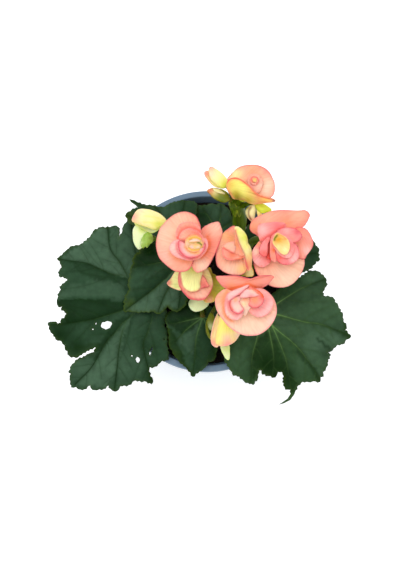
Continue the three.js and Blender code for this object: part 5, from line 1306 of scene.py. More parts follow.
# %% The upper left bloom
make_bloom("bloom_upper_left", base=170, centre=(-8, 26), petals=[
    dict(mid=(-20, 29, -0.6), face="peach",
        washes=[(-29, 35, 9, "cream", 0.5), (-19, 46, 6, "cream", 0.4), (-29, 19, 6, "blush", 0.4),
          (-19, 11, 7, "salmon", 0.35)],
        strokes=[([(-26, 20.5), (-22.6, 17.2), (-17, 15), (-12, 14)], 1.6, "apricot", 0.7)],
        edge=[(-4.5, 38, 3), (-6.2, 44.6, 4), (-9, 48.6, 4), (-15.6, 51, 3), (-23, 49.2, 2), (-30, 43.4, 1),
          (-34.6, 36, 0), (-36.4, 27, -1), (-34.4, 18, 0), (-30, 12.8, 0), (-23.4, 7.8, 1), (-17.6, 7, 2),
          (-12.8, 8.8, 2), (-10, 14, 1), (-7, 24, -1)]),
    dict(mid=(0, 25, -1), level=1,
        washes=[(6, 40, 6, "cream", 0.6), (2.6, 27, 4.5, "coral", 0.35), (-4, 12, 6, "cream", 0.95),
          (1.5, 19, 3, "orange", 0.3)],
        strokes=[([(0.4, 32.5), (1.6, 27), (0, 22), (-4, 17.6)], 1.6, "orange", 0.75)],
        edge=[(-4.6, 36.8, 0), (-1, 40.4), (4, 42.8, 2), (7.6, 43.6, 2.4), (8.8, 43, 2.4), (9.8, 40.6, 2),
          (11.1, 36), (10, 31, 0), (8, 25.5, 0), (5, 18.5, 0), (0.5, 10.5), (-3, 7.8), (-6.8, 6.5),
          (-9.6, 8.6, 0.5), (-11.2, 12, 0), (-12, 15, -1), (-9, 25, -2)]),
    dict(mid=(-13, 36, 5.4), rim="rose", level=7.5, washes=[(-14, 42, 4, "peach", 0.5)],
        strokes=[([(-20.4, 32), (-18.6, 36.6), (-13, 39.2), (-7.6, 38.2), (-4, 35)], 1.2, "coral", 0.5)],
        edge=[(-4.4, 36.5, 7), (-6, 40.3), (-10.2, 43), (-14.5, 43.4), (-19, 41.8, 7), (-21.6, 38, 6.5),
          (-22.2, 32.5, 6), (-19.6, 29.5, 4), (-12, 26, 3), (-6, 29, 4)]),
    dict(mid=(-13, 22, 5.8), face="blush", rim="rose", level=8,
        washes=[(-24, 24, 3.4, "cream", 0.4), (-7, 18, 6, "salmon", 0.8)],
        strokes=[([(-21.4, 28), (-21.6, 24), (-19.6, 20), (-16, 17.4), (-11, 16.2)], 0.9, "pink", 0.6)],
        edge=[(-19.8, 30.4, 6.4), (-24.4, 29.2, 6.6), (-26.8, 25.6, 6.8), (-26.3, 22, 7), (-23.3, 18.6, 7.2),
          (-18, 16.4, 7.6), (-12.4, 15.4), (-7.6, 16.2), (-3.4, 18.4), (-0.4, 22.6), (0.8, 27),
          (-1, 31.5, 7.4), (-5, 28, 5), (-11, 26, 4)]),
    dict(mid=(-11, 34, 8.4), rim="rose", level=10.5,
        washes=[(-16, 33.5, 3.5, "peach", 0.7), (-6, 36, 3.5, "coral", 0.5)],
        edge=[(-1.6, 27, 9.5), (-2.2, 31, 10), (-4.6, 34.6), (-8, 37.2), (-12, 38.5), (-16, 37.6, 10),
          (-19, 34.8, 9.5), (-19.8, 31, 9), (-15, 28.5, 6), (-8, 28, 6)]),
    dict(mid=(-11.5, 23, 8.4), face="blush", flush=0.8, level=10.6, washes=[(-6, 20, 4, "salmon", 0.6)],
        strokes=[([(-15.6, 25), (-13.6, 22), (-9.8, 20.4), (-6, 21)], 1.1, "gold", 0.6)],
        edge=[(-20, 29.6, 9), (-20.6, 25.6, 9.6), (-19.4, 21.8, 10), (-16.2, 18.4), (-12.2, 17), (-7.4, 17.8),
          (-3.3, 20.8), (-1.2, 25.2, 10.2), (-2, 29, 9.6), (-7, 27, 6), (-13, 27, 6)]),
    dict(mid=(-9, 27, 8.4), face="honey", rim="apricot", flush=0.8, line=0.4, level=10.2,
        washes=[(-9, 27, 4, "butter", 0.4), (-14, 27, 2, "cream", 0.7)],
        strokes=[([(-12.8, 30.6), (-10.4, 32), (-7.6, 32.2), (-4.6, 30.6)], 0.5, "gold", 0.9), ([(-13, 24.4),
          (-9.6, 22.6), (-6, 23.2), (-4, 25)], 0.5, "gold", 0.9), ([(-12.4, 33), (-8.4, 33.6), (-4.4, 31.6),
          (-3, 28)], 0.5, "apricot", 0.8), ([(-6.6, 28.2), (-5, 27.8), (-4, 26.4)], 0.7, "olive", 1)],
        edge=[(-2.4, 28.3), (-4.2, 31.8), (-7.6, 34, 10.4), (-11, 34, 10.4), (-14.5, 31.8), (-15.8, 27.4),
          (-14, 23), (-9.8, 21.3, 10.4), (-5.9, 22.3, 10.4), (-3.3, 24.7)]),
    dict(mid=(-8.8, 29.7, 9.8), face="cream", rim="rose", line=0.3, bowl=3, lip=0.2, level=9.4,
        strokes=[([(-12.6, 28.4), (-9.6, 28.5), (-6.4, 28.9)], 0.5, "gold", 0.7)],
        edge=[(-4.4, 29.4), (-6.4, 30.5), (-9, 30.9), (-11.8, 30.1), (-13.2, 28.5), (-10.6, 28.4), (-8, 28.7),
          (-6, 29)]),
    dict(mid=(-8.8, 25, 9.8), face="honey", rim="rose", line=0.3, bowl=3, lip=0.2, level=9.4,
        washes=[(-10.8, 25, 1.6, "blush", 0.9), (-6.6, 24.6, 1.4, "cream", 0.8)],
        edge=[(-3.6, 26), (-5.6, 24.1), (-9, 23.4), (-12.4, 24.4), (-13.2, 26.2), (-10, 27.2), (-6.4, 26.8)]),
])

# %% The upper middle bloom
make_bloom("bloom_upper_middle", base=166, centre=(18, 21, 1.2), petals=[
    dict(mid=(16, 20, 0.6), face="peach",
        washes=[(15, 33, 5, "apricot", 0.7), (18, 31, 3, "gold", 0.4), (15, 39, 4, "pink", 0.4),
          (17, 9, 7, "cream", 0.6), (25, 9, 4, "honey", 0.7), (12, 34, 4, "honey", 0.4)],
        edge=[(20, 40.3, 4), (14.5, 37.8, 4), (9.8, 33, 3), (7.4, 26, 2.5), (6.2, 18, 2), (7, 12, 2.5),
          (10.4, 8, 3), (15, 5.6, 4), (20, 4.7, 4.5), (25, 5.2, 5), (28.2, 9, 3), (27.2, 16, 2), (24, 23, 1),
          (21.5, 31, 2)]),
    dict(mid=(27, 24, 3.6), face="butter", rim="butter", line=0.2, lip=0.3, cup=False, level=1,
        washes=[(27, 32, 4, "lime", 0.8), (22.6, 36, 3, "lemon", 0.8), (28, 26, 3, "lemon", 0.8),
          (31, 19, 2.4, "gold", 0.4), (28.6, 13, 5, "apricot", 0.9), (29, 10, 2, "coral", 0.4)],
        strokes=[([(20, 37), (21.2, 31.6), (23, 26), (25.6, 20), (27.4, 13), (28.8, 8.5)], 0.9, "pink",
          0.85)],
        edge=[(20.3, 40, 6), (24, 38.8, 5), (27.6, 34.5, 3), (28.8, 30.5), (29, 28), (30.8, 25), (31.8, 20),
          (31.6, 12), (30.4, 7.5, 2), (28.4, 8.5, 4), (26.8, 14, 5.4), (25, 20.4, 6), (22.6, 26.4, 6),
          (21, 31, 6), (19.8, 36, 6)]),
    dict(mid=(18, 19, 5.4), rim="rose", line=0.2, level=6.4,
        washes=[(18, 19.2, 2.4, "orange", 0.6), (24, 20, 2.6, "apricot", 0.7)],
        strokes=[([(20.6, 15.8), (24, 16.8), (26.6, 18.2)], 0.6, "orange", 0.6), ([(11, 24), (11.6, 19.4),
          (13.8, 16.6), (18, 15.8)], 0.7, "coral", 0.35)],
        edge=[(10.9, 24.4), (11.2, 19), (13.4, 16.2), (18, 15.3), (22.4, 15.9), (26.6, 18), (25, 22.6),
          (22, 27), (18, 26.4, 5.4), (14, 25, 6)]),
    dict(mid=(22.4, 24.4, 6.8), face="apricot", rim="salmon", line=0.3, lip=0.2,
        washes=[(22, 21, 2.4, "salmon", 0.8)],
        edge=[(19.8, 30, 8), (20.2, 34, 7.6), (21.8, 29, 7.8), (24.6, 22.5, 7.6), (26, 18.8, 7),
          (22, 19, 6.6), (19.6, 21, 6.4), (19.4, 25, 7.4)]),
    dict(mid=(15.8, 25.2, 7.4), face="peach", rim="rose", line=0.3, lip=0.1, ripple=0.1, level=6.8,
        strokes=[([(11, 24.4), (14, 22.8), (18.8, 20.2)], 0.9, "coral", 0.9)],
        edge=[(11.4, 24.8), (13.2, 27, 7), (16.6, 28.6, 7.2), (19.6, 28.4, 7.4), (20.4, 24.4, 7.4),
          (19, 20.6), (16.6, 21.6), (13.6, 23.2)]),
    dict(mid=(28.6, 8.5, -3.4), face="butter", rim="gold", level=-3, washes=[(25.6, 5.6, 2.2, "olive", 0.8)],
        edge=[(30.8, 11.5), (32.8, 8, -4), (33, 5, -5), (31.4, 3.6, -5), (27, 4, -4), (23, 7, -3.6), (18, 16),
          (25, 15)]),
])

# %% The right bloom
make_bloom("bloom_right", base=163, centre=(52, 27), petals=[
    dict(mid=(53, 43, 1), line=0.9, level=1.6,
        washes=[(33, 40, 4, "apricot", 0.7), (44, 46, 7, "peach", 0.8), (66, 48, 6, "peach", 0.7),
          (57, 43, 4, "apricot", 0.6)],
        edge=[(30.5, 38.8, 0), (31.8, 43.4, 0.6), (35.6, 47, 1), (41, 49.4, 1), (46, 51.4, 1.4), (53, 52.2),
          (59, 52.1), (65, 51.8), (70.3, 52.1), (73, 50.3, 1), (73.8, 48, 0.6), (72.4, 44.6, 0),
          (70, 41, -0.6), (67, 38, -1), (60, 33, -2), (52, 30, -3), (42, 31.6, -2), (36.9, 32.5, -1.4),
          (34.4, 34.4, -1), (32, 35.8, -0.6)]),
    dict(mid=(52, 10, 0), face="peach", level=2,
        washes=[(57, 3, 11, "cream", 0.95), (66, 13, 4, "cream", 0.6), (44, 12, 4, "salmon", 0.5)],
        edge=[(33.6, 15, 0), (34, 9, 1.4), (36.4, 4), (40.6, 0), (44.6, -3), (50, -4.2), (56, -3.7),
          (61, -1.2), (65, 3.2), (68, 8.6), (69.3, 14), (67.6, 19, 1), (58, 24, -1), (50, 24, -1),
          (41, 20, -0.4)]),
    dict(mid=(68, 28, 2.2), level=2.4,
        washes=[(71, 22, 4, "blush", 0.8), (72, 30, 4, "rose", 0.5), (64, 38, 3, "coral", 0.3)],
        edge=[(69, 39, 3), (72.6, 36.4, 3), (75.2, 31, 3), (75.8, 27, 2.6), (74.2, 23.2), (70.8, 18.8),
          (68.7, 16.2), (62, 18, 1), (55, 26, -1), (60, 35, 1.6), (64.6, 39.6)]),
    dict(mid=(45, 37, 6), face="rose", rim="rose", level=6.5,
        washes=[(40, 37.6, 4, "blush", 0.8), (51, 40, 4, "pink", 0.5)],
        strokes=[([(38.4, 29.4), (42, 32.2), (46, 34.4), (50, 37.4), (54.4, 40)], 1.4, "coral", 0.5)],
        edge=[(36.4, 39.8, 5.5), (38.6, 42, 6), (44, 43), (50, 43.4), (55.6, 42.6), (56.6, 40, 6),
          (52, 34, 3), (46, 31, 3), (42.4, 30, 4), (38.2, 29.2, 4.6), (36.8, 33, 5), (36.2, 36.6, 5)]),
    dict(mid=(39, 19, 2.6), face="rose", rim="rose", level=3.6,
        washes=[(35, 21.4, 2.6, "cream", 0.9), (36.4, 27.2, 2, "apricot", 0.9),
          (43.8, 16.6, 2.6, "coral", 0.6), (36, 15, 3, "blush", 0.6)],
        edge=[(38.4, 29.4, 2), (35.4, 27, 2.4), (32.4, 22.6, 3), (31.7, 18.6, 3), (33.4, 14, 3.4), (36.6, 11),
          (39.8, 10.3), (43.2, 12.2), (45.8, 15.2, 3), (48, 22, 1.4), (46, 28, 1.4)]),
    # This petal fills the slit in the heart: its coral face and ember washes are painted shade and painted
    # reflected glow there.
    dict(mid=(44.6, 24, 4), face="coral", rim="coral", level=5,
        washes=[(43.6, 21, 2.4, "ember", 0.9), (44.6, 29, 2, "ember", 0.4)],
        edge=[(46, 33, 5.4), (43.6, 29), (42.4, 22, 4.8), (42.8, 17.2, 4.8), (45.4, 16), (46.8, 20),
          (47, 26)]),
    dict(mid=(41, 25, 7.4), face="rose", level=8,
        washes=[(40.8, 20, 2.8, "coral", 0.7), (42.6, 30, 2.4, "coral", 0.3)],
        edge=[(44.4, 32.6, 7.4), (42, 31.6, 7.6), (39.4, 28.4), (37.3, 24), (37.6, 20), (40.4, 17.9),
          (42.6, 19.2, 7.6), (43.3, 23, 7), (43.5, 27, 6.8), (45.2, 31, 6.8)]),
    dict(mid=(46.9, 24, 7.4), rim="rose", level=7.6,
        washes=[(47.6, 22.6, 1.8, "orange", 0.9), (47, 17, 2, "coral", 0.3)],
        edge=[(49.4, 35, 8), (46.8, 33.6, 8), (45.3, 30.4, 8), (44.9, 25, 7.8), (44.9, 19), (45.4, 16.4),
          (47.4, 14.4, 7.8), (49.6, 15, 8), (49.2, 20, 7.8), (49.4, 26, 7.4), (49.8, 31)]),
    dict(mid=(59, 34, 8), face="rose", level=9,
        washes=[(64.4, 36, 3, "pink", 0.7), (57, 36.4, 2.6, "blush", 0.6), (60, 31, 3, "salmon", 0.6)],
        edge=[(49.9, 35.8, 8.4), (51.2, 37.8, 8.6), (54.6, 39), (59, 39.2), (63.2, 38.5), (66.6, 36),
          (67.9, 32.8), (66.2, 29.9), (61.8, 28.1, 8.4), (57, 29, 6.4), (52, 32, 6.4)]),
    dict(mid=(57, 19, 7.4), face="rose", level=8.6,
        washes=[(61, 17, 4.4, "blush", 1), (51.4, 17, 3, "coral", 0.7), (57, 14, 3, "pink", 0.4)],
        edge=[(61.6, 28, 8.4), (64.6, 25.4), (65.6, 21.6), (65, 17), (61.8, 13.6), (56.9, 12), (52.4, 13),
          (49.8, 15.4), (48.9, 18.8, 8.4), (48.4, 23, 8), (51, 25, 6.6), (56, 25, 6.6)]),
    dict(mid=(54.6, 26, 9), face="rose", rim="rose", line=0.2, level=10,
        washes=[(58, 18.8, 2.4, "blush", 0.8), (60, 27, 2.4, "pink", 0.4), (50, 21, 2, "cream", 0.7)],
        edge=[(49.9, 35.8, 9.6), (54, 35.4), (58.4, 33), (61.4, 28.4), (61.6, 22), (59.4, 17.8), (56.6, 16.9),
          (52.6, 18.4), (49, 22.6), (46.4, 27.6), (46.6, 31.8)]),
    dict(mid=(53, 27, 10), face="honey", rim="butter", line=0.3, lip=0.1, ripple=0.1, level=11.2,
        washes=[(51, 30.4, 3, "gold", 1), (55.6, 23, 3.4, "butter", 1), (51, 25, 2, "butter", 0.6)],
        strokes=[([(48, 30), (48.4, 31.6), (50, 33.4)], 0.8, "olive", 1), ([(48, 29), (51.6, 31),
          (55.6, 30.4)], 0.5, "orange", 0.3), ([(50.4, 34.6), (54, 33.2), (56.6, 30.6)], 0.6, "orange",
          0.45)],
        edge=[(49.8, 35.2, 10.8), (53.6, 33.8), (56.8, 31.6), (58.8, 27.8), (58.6, 23), (56.2, 19.5),
          (52.8, 20.4), (49.4, 24.4), (47, 28), (47.4, 31.2, 11)]),
])

# %% The lower middle bloom
make_bloom("bloom_lower_middle", base=176, centre=(27, -16, 0.8), petals=[
    dict(mid=(27, -1, 4.6), cup=False, level=7,
        washes=[(12, 1, 5, "rose", 0.3), (17, -3.6, 3, "apricot", 0.8), (41, 1, 5, "rose", 0.4)],
        strokes=[([(15, -5.6), (20, -4.2), (24, -3.2), (29, -1.8), (33, -3.4), (37.6, -5)], 1.1, "orange",
          0.85)],
        edge=[(6.2, 3.6, 4), (10.5, 3.9, 5), (16.7, 4.2, 6), (22, 4), (27.2, 2.7), (31.2, 2), (34, 3),
          (38, 4.1), (42, 4.3, 6), (45.8, 4.3, 5), (47.4, 3.4, 4.6), (46.6, 2, 4), (44, -1, 3), (41, -3.4, 2),
          (37.6, -5.2, 1.4), (33, -7.4, 1), (27, -12, 0), (20, -8, 0), (15, -5.8, 0.6), (11.6, -3.9, 1.4),
          (8.7, -1, 3)]),
    dict(mid=(27, -20, 0.4), face="cream", rim="rose", line=0.9, level=4,
        washes=[(9.6, -12, 6, "apricot", 0.7), (15, -7, 3, "gold", 0.3), (46, -27, 4, "blush", 0.6),
          (12, -22, 3.4, "peach", 0.6)],
        strokes=[([(14, -7.4), (11.6, -12), (11.4, -19), (13.2, -25.2), (17.6, -28.4)], 1.2, "apricot", 0.9)],
        edge=[(13, -5.4, 1.4), (9, -7.6, 2), (6.4, -10.8, 2.4), (5.6, -14.4, 2.6), (6.9, -20.6, 3),
          (10.2, -26, 3), (14.9, -31.9, 3.4), (20.3, -35.9, 3.6), (25, -37.9), (30, -38.4), (35.5, -37.9),
          (41, -34.9), (45.4, -30.2), (48.3, -24.6), (49, -19.6), (48, -14.6), (46, -10.6, 3), (42, -6.6, 2),
          (38, -5, 1), (32, -7, 0), (27, -11, 0), (19, -7.4, 0.4)]),
    dict(mid=(19, -17, 6.2), face="blush", rim="rose", level=7.6,
        washes=[(16, -23.4, 3, "cream", 0.6), (22, -25, 3, "blush", 0.4)],
        strokes=[([(15, -12), (14.4, -17), (16.2, -21.4), (20.4, -24.4)], 1.3, "rose", 0.5)],
        edge=[(25, -6, 7), (18.6, -6.8, 7.4), (14.6, -8.4), (12.8, -12.6), (12.3, -18), (12.9, -21.9),
          (14.5, -24.9), (17.4, -27.1), (21, -27.3), (24, -25.5, 7.4), (25.8, -22.4, 7), (27, -18, 5.6),
          (27, -12, 5.6)]),
    dict(mid=(38, -16, 5.6), face="blush", rim="rose", level=7,
        washes=[(31, -20, 3, "salmon", 0.7), (43, -12, 4, "rose", 0.5), (34, -23, 3, "rose", 0.4)],
        strokes=[([(41.4, -8.6), (42, -14), (40, -18.6), (35, -20.6)], 1.4, "rose", 0.5)],
        edge=[(34, -5, 6.4), (38.4, -5.4), (42, -7.3), (45.4, -11), (46.9, -14.4), (46.2, -18.4),
          (44.6, -21.2), (41.2, -24.3), (37, -25.5), (33, -24.4), (30, -22), (28, -19), (29, -16.6, 6),
          (29, -11, 5)]),
    dict(mid=(26.6, -15.6, 7.8), face="cream", rim="cream", line=0, lip=0, ripple=0, level=8.2,
        washes=[(27.4, -12, 3, "apricot", 0.8), (26, -16, 2, "butter", 0.5)],
        edge=[(21, -11), (22, -15.4, 8), (23.6, -20.6, 7), (26.6, -24.4, 4), (29.6, -20, 7), (32, -16.2, 8),
          (32.6, -12.6), (28, -10), (25, -9.6)]),
    dict(mid=(20.5, -17.5, 9.2), face="blush", level=10.2,
        washes=[(21.6, -18.4, 3, "cream", 0.7), (20, -13, 2.4, "apricot", 0.8)],
        strokes=[([(16.2, -14.4), (16.2, -17.4), (17.8, -20.4)], 1, "ember", 0.75), ([(18.6, -21.8),
          (22, -22.9), (25, -21)], 0.9, "pink", 0.8), ([(22.6, -15), (25, -19.6)], 0.5, "rose", 0.6)],
        edge=[(23.4, -10.6, 9.6), (19.6, -11, 9.8), (17, -12.6, 10), (15.5, -15.6), (16.3, -19.4),
          (18.7, -22.1), (22, -23.3), (24.7, -22, 9.8), (25.9, -20, 9.6), (24.2, -17, 9.4), (22.6, -14, 9.4),
          (23.4, -12, 9.4)]),
    dict(mid=(21, -8.5, 9.4), face="blush", rim="rose", level=9,
        strokes=[([(15.6, -14.4), (18.6, -11.6), (23, -9.4), (27.4, -5.4)], 0.9, "pink", 0.7)],
        edge=[(29.6, -2.4), (25.4, -3.8), (20.4, -5.7), (16, -7.7), (14.1, -11, 9.4), (15, -15, 9.8),
          (17.6, -13, 9.8), (20.4, -10.6, 10), (23.6, -9, 10.2), (27.2, -5.8, 10)]),
    dict(mid=(34.4, -11.6, 9.2), face="rose", level=10.4,
        washes=[(33.4, -13, 3.4, "apricot", 1), (39, -11, 2.2, "coral", 0.8)],
        strokes=[([(29.6, -3), (33.4, -4.9), (37, -7.2), (39.8, -10.6)], 1.1, "orange", 0.95)],
        edge=[(29.6, -3.6, 9.6), (33.6, -5, 10), (37.2, -7, 10.2), (39.6, -10), (40.1, -13), (38.9, -16.3),
          (35.9, -18.5), (32.2, -18.7, 10.2), (29.2, -17, 9.8), (30, -13.6, 9.2), (29, -9, 8.8)]),
    dict(mid=(30.6, -8.4, 11), face="blush", rim="rose", lip=0.3, level=10.6,
        washes=[(32, -7.4, 2, "cream", 0.7), (31, -10.6, 2, "rose", 0.9)],
        strokes=[([(28, -4.9), (30.6, -5), (33.2, -6.2), (36.6, -8.8)], 0.9, "orange", 0.8)],
        edge=[(28.6, -5.2), (32.4, -6, 10.8), (35.6, -8, 10.8), (37, -9.8), (34, -10.7), (30, -11.2),
          (26, -11.6), (22.8, -11, 10.4), (24.6, -8.4), (26.6, -6.4)]),
])

# %% The back bloom
make_bloom("bloom_back", base=166, centre=(26.5, 63.5, -4), petals=[
    dict(mid=(34, 74, 1), face="peach", level=4,
        washes=[(21, 78.6, 5, "butter", 0.9), (33, 82, 5, "apricot", 0.5), (44, 70, 5, "cream", 0.9),
          (42, 64, 4, "cream", 0.6), (43, 81, 3, "pink", 0.3)],
        edge=[(14.9, 75, 3), (17.2, 78.5, 3.6), (20.5, 82.2), (24.7, 84.9), (30.3, 86), (36, 85.9),
          (40.8, 84.2), (44.6, 81.3, 3.6), (47.2, 77, 3), (48.9, 71.6, 3), (48.9, 67, 2.6), (47.6, 63, 2),
          (44, 60.6, 1), (36, 60, -1), (27, 62, -3), (20, 70, 0)]),
    dict(mid=(34.4, 72.4, 2.8), face="peach", rim="rose", line=0.15, lip=0.2,
        washes=[(38, 70, 3, "cream", 0.6), (32, 69.6, 2.4, "rose", 0.6)],
        edge=[(29.6, 72.4, 3.4), (29.4, 76, 3.6), (31.6, 78.8, 3.8), (35, 79.2, 3.8), (39, 77.4, 3.6),
          (40.4, 73, 3.4), (39.6, 68.6, 3), (37, 65, 2.4), (33, 67, 2.4), (30.6, 69.6, 3)]),
    dict(mid=(34.4, 74.2, 4), face="peach", rim="rose", line=0.4, lip=0.2, level=4.6,
        strokes=[([(35.8, 71.6), (37.2, 73.6), (36.4, 76), (34, 77), (32, 75.6), (32.6, 73), (34.6, 73),
          (35.2, 74.6)], 0.5, "coral", 0.7)],
        edge=[(31.2, 73.4, 4.4), (31.6, 76.2), (34.2, 77.6), (37, 76.2), (37.4, 73.2, 4.4), (35.4, 71, 4.2),
          (32.8, 71.2, 4.2)]),
    dict(mid=(34.4, 74.4, 5), face="honey", rim="salmon", line=0.3, lip=0.1, level=5,
        edge=[(33, 74), (33.8, 76), (35.8, 75.6), (36, 73.6), (34.4, 72.8)]),
    dict(mid=(26, 67, 3.6), face="lemon", rim="apricot", flush=0.7, cup=False,
        washes=[(17, 71, 4, "gold", 0.5), (21, 63.6, 4, "sepal", 1), (22, 61.4, 3, "olive", 0.6),
          (30, 60, 4, "sepal", 0.9), (32, 66, 4, "honey", 0.7), (37, 62.4, 3.6, "apricot", 0.9),
          (41, 59, 4, "orange", 0.3), (48.8, 59, 2, "mauve", 1)],
        strokes=[([(14.6, 73), (17, 75.4), (21, 76), (25, 74.6), (30, 70.6), (34, 66.2), (38, 63.2),
          (43, 61.4), (47, 60.6)], 0.8, "coral", 0.9), ([(15, 68), (17.4, 64), (19.4, 61)], 0.8, "apricot",
          0.6)],
        edge=[(14.9, 74, 4), (17.2, 75.8, 5), (20.9, 76.4, 6), (24.7, 75.1, 6.6), (28.4, 72.6, 6.8),
          (31.2, 69.7, 6.8), (34, 66.4, 6.6), (37.7, 63.5, 6), (41.9, 61.9, 5.4), (46.1, 60.8, 4.4),
          (48.9, 59.8, 3.6), (49.2, 58.7, 3), (47.5, 57.9, 2.4), (42.8, 57.6, 1), (38.2, 57, -1),
          (34, 56.4, -2.6), (30.3, 57.4, -3.4), (26.5, 59.7, -3.6), (22.8, 60.1, -3.6), (19.1, 60.6, -3.4),
          (17, 63.5, -2), (14.9, 66.8, 0), (14.1, 70.4, 2)]),
])

# %% The half open bloom
make_bloom("bloom_half_open", base=146, centre=(-8, -1), petals=[
    dict(mid=(-8, 0, 4), face="peach", line=0.9,
        washes=[(1.6, 4, 6, "ivory", 0.9), (-5, -9, 5, "cream", 0.75), (-19.4, 0, 2.6, "rose", 0.8)],
        strokes=[([(-16, -8.6), (-11.6, -12.2), (-6.7, -13), (-2.2, -12.4)], 1.2, "pink", 0.6)],
        edge=[(-19.8, 7, 5), (-20.5, 2, 6), (-20.1, -2, 6.4), (-18.4, -5.4, 6.6), (-15.2, -9.7, 7),
          (-11.9, -12.5, 7.6), (-6.7, -13.4, 8), (-2.2, -12.9, 8), (1, -9.7, 7.4), (3.4, -5.2, 6.6),
          (4.1, -2, 6), (3.4, 2.6, 5), (1.6, 7, 4), (-0.5, 10, 3), (-9, 12, 2), (-17, 10.5, 3)]),
    dict(mid=(-11, 0.4, 9.8), face="ivory", flush=0.1, line=0.6, bowl=3, level=8.6,
        washes=[(-11, 10, 4, "lime", 0.6)],
        edge=[(-17.8, 8, 7), (-18, 1, 8), (-16.7, -3.8, 8.4), (-14.3, -6.2), (-11, -7.4), (-7.1, -6.7),
          (-4.8, -4.6, 8.4), (-4.6, -1), (-3.8, 3), (-3.4, 9, 7), (-9, 12, 5)]),
    dict(mid=(-2, -0.6, 8), washes=[(-2.4, -3, 2.4, "pink", 0.6)],
        edge=[(-3.8, 4.4, 8.4), (-1.4, 2.8, 8.6), (0.4, -1, 8.6), (1.6, -3.6, 8.4), (-1.6, -4.2, 8.2),
          (-5, -5, 8), (-4.8, -1, 7.4)]),
    dict(mid=(-21, 0, 2), face="ivory", rim="salmon",
        washes=[(-27, -1, 2.4, "pink", 0.8), (-21.6, -3, 2.4, "fern", 0.35)],
        edge=[(-18, 7.4, 1), (-22.5, 7, 1.4), (-25.4, 2.6, 2), (-28.2, -1, 3), (-26.4, -3.6, 2),
          (-22, -5.6, 1.4), (-18, -6, 0), (-9, -1, -2)]),
    dict(mid=(3.4, -3.6, -2.4), face="sepal", rim="sepal", line=0.2,
        washes=[(4.6, 4, 3.6, "olive", 0.7), (1.5, -13.4, 3, "peach", 0.8), (8, -5, 5, "fern", 0.45)],
        edge=[(1, 10, 0), (3.8, 6, 0), (6.6, 4.2, 0), (9, 0.4, 0), (12.3, -4.2, 0), (11, -6, 0),
          (8.1, -8.2, 0.6), (6.4, -11, 1), (5.3, -13.8, 1.6), (2, -15, 1.6), (-2.6, -13.6, 0), (-9, -1, -2)]),
])

# %% [markdown]
# ## Buds
# A begonia bud is two convex valves pressed together, so it is a flat pillow with a sharp seam. The same
# petal maker gives it, with a belly that swells between the two faces. Where a valve has already let go, it
# is drawn as a petal of its own beside the pillow.

# %% From drawings to a bud
VALVE = {"ripple": 0.08, "lip": 0.2, "line": 0.4}
VALVE_GRID = 20


def make_bud(name, base, valves):
    """A bud as one piece. Its stalk's seat is where the first valve's margin starts."""
    parts = [petal_part({**VALVE, **valve}, base, grid=VALVE_GRID) for valve in valves]
    make_piece(name + "_valves", joined(parts), bud_skin, [name])
    seats[name] = seen_at(*valves[0]["edge"][0][:2], base)
    print(name, len(valves), "valves")


# %% The two left buds
make_bud("bud_left_upper", base=144, valves=[
    dict(belly=8.4, mid=(-41, 45), face="butter", rim="lemon", back="lime",
        washes=[(-53, 46.6, 4, "rose", 0.9), (-47, 51, 3, "cream", 0.6), (-35, 40.6, 4, "lime", 0.7)],
        strokes=[([(-30, 43), (-36, 45.6), (-44, 46.4)], 0.7, "lime", 0.35), ([(-31, 41.6), (-38, 41.6),
          (-45, 42.4)], 0.7, "lime", 0.35)],
        edge=[(-28.6, 43.4), (-32, 48), (-37, 50.9), (-43, 52.6), (-49, 52.6), (-52, 49.5), (-53.7, 44),
          (-48, 41.2), (-42, 39), (-37, 37.4), (-32, 39.6)]),
    dict(mid=(-42, 40, -5), face="mint", rim="lime", back="lime",
        edge=[(-51.6, 42.6, -1), (-47, 38.6, -3), (-41, 35.4, -4), (-37, 36, -4), (-31.6, 41, -1),
          (-40, 43, -3)]),
])
make_bud("bud_left_lower", base=137.5, valves=[
    dict(belly=6.4, mid=(-47.5, 32.5), face="mint", rim="mint", washes=[(-46, 37, 2.4, "lime", 0.5)],
        edge=[(-41, 33.4), (-44, 36.4), (-47.6, 39.6), (-50.6, 41.2), (-52.8, 38), (-53, 33), (-52.2, 28),
          (-49.8, 24), (-47.6, 23.4), (-44, 26.4), (-41.6, 30)]),
    dict(mid=(-43.4, 30.4, 3.6), face="fern", rim="fern", back="fern", ripple=0.5,
        washes=[(-40.5, 31.6, 1.6, "olive", 0.5), (-47, 28, 1.6, "mint", 0.4)],
        edge=[(-38.8, 33, 1), (-41.4, 35.6, 2.4), (-44.6, 34.6, 3.6), (-46.6, 31, 4.4), (-47.4, 27, 4),
          (-46, 24.2, 3), (-43.6, 25.4, 2.4), (-42.6, 24.6, 2), (-40.6, 27.4, 1.4), (-38.6, 29, 0.6)]),
])

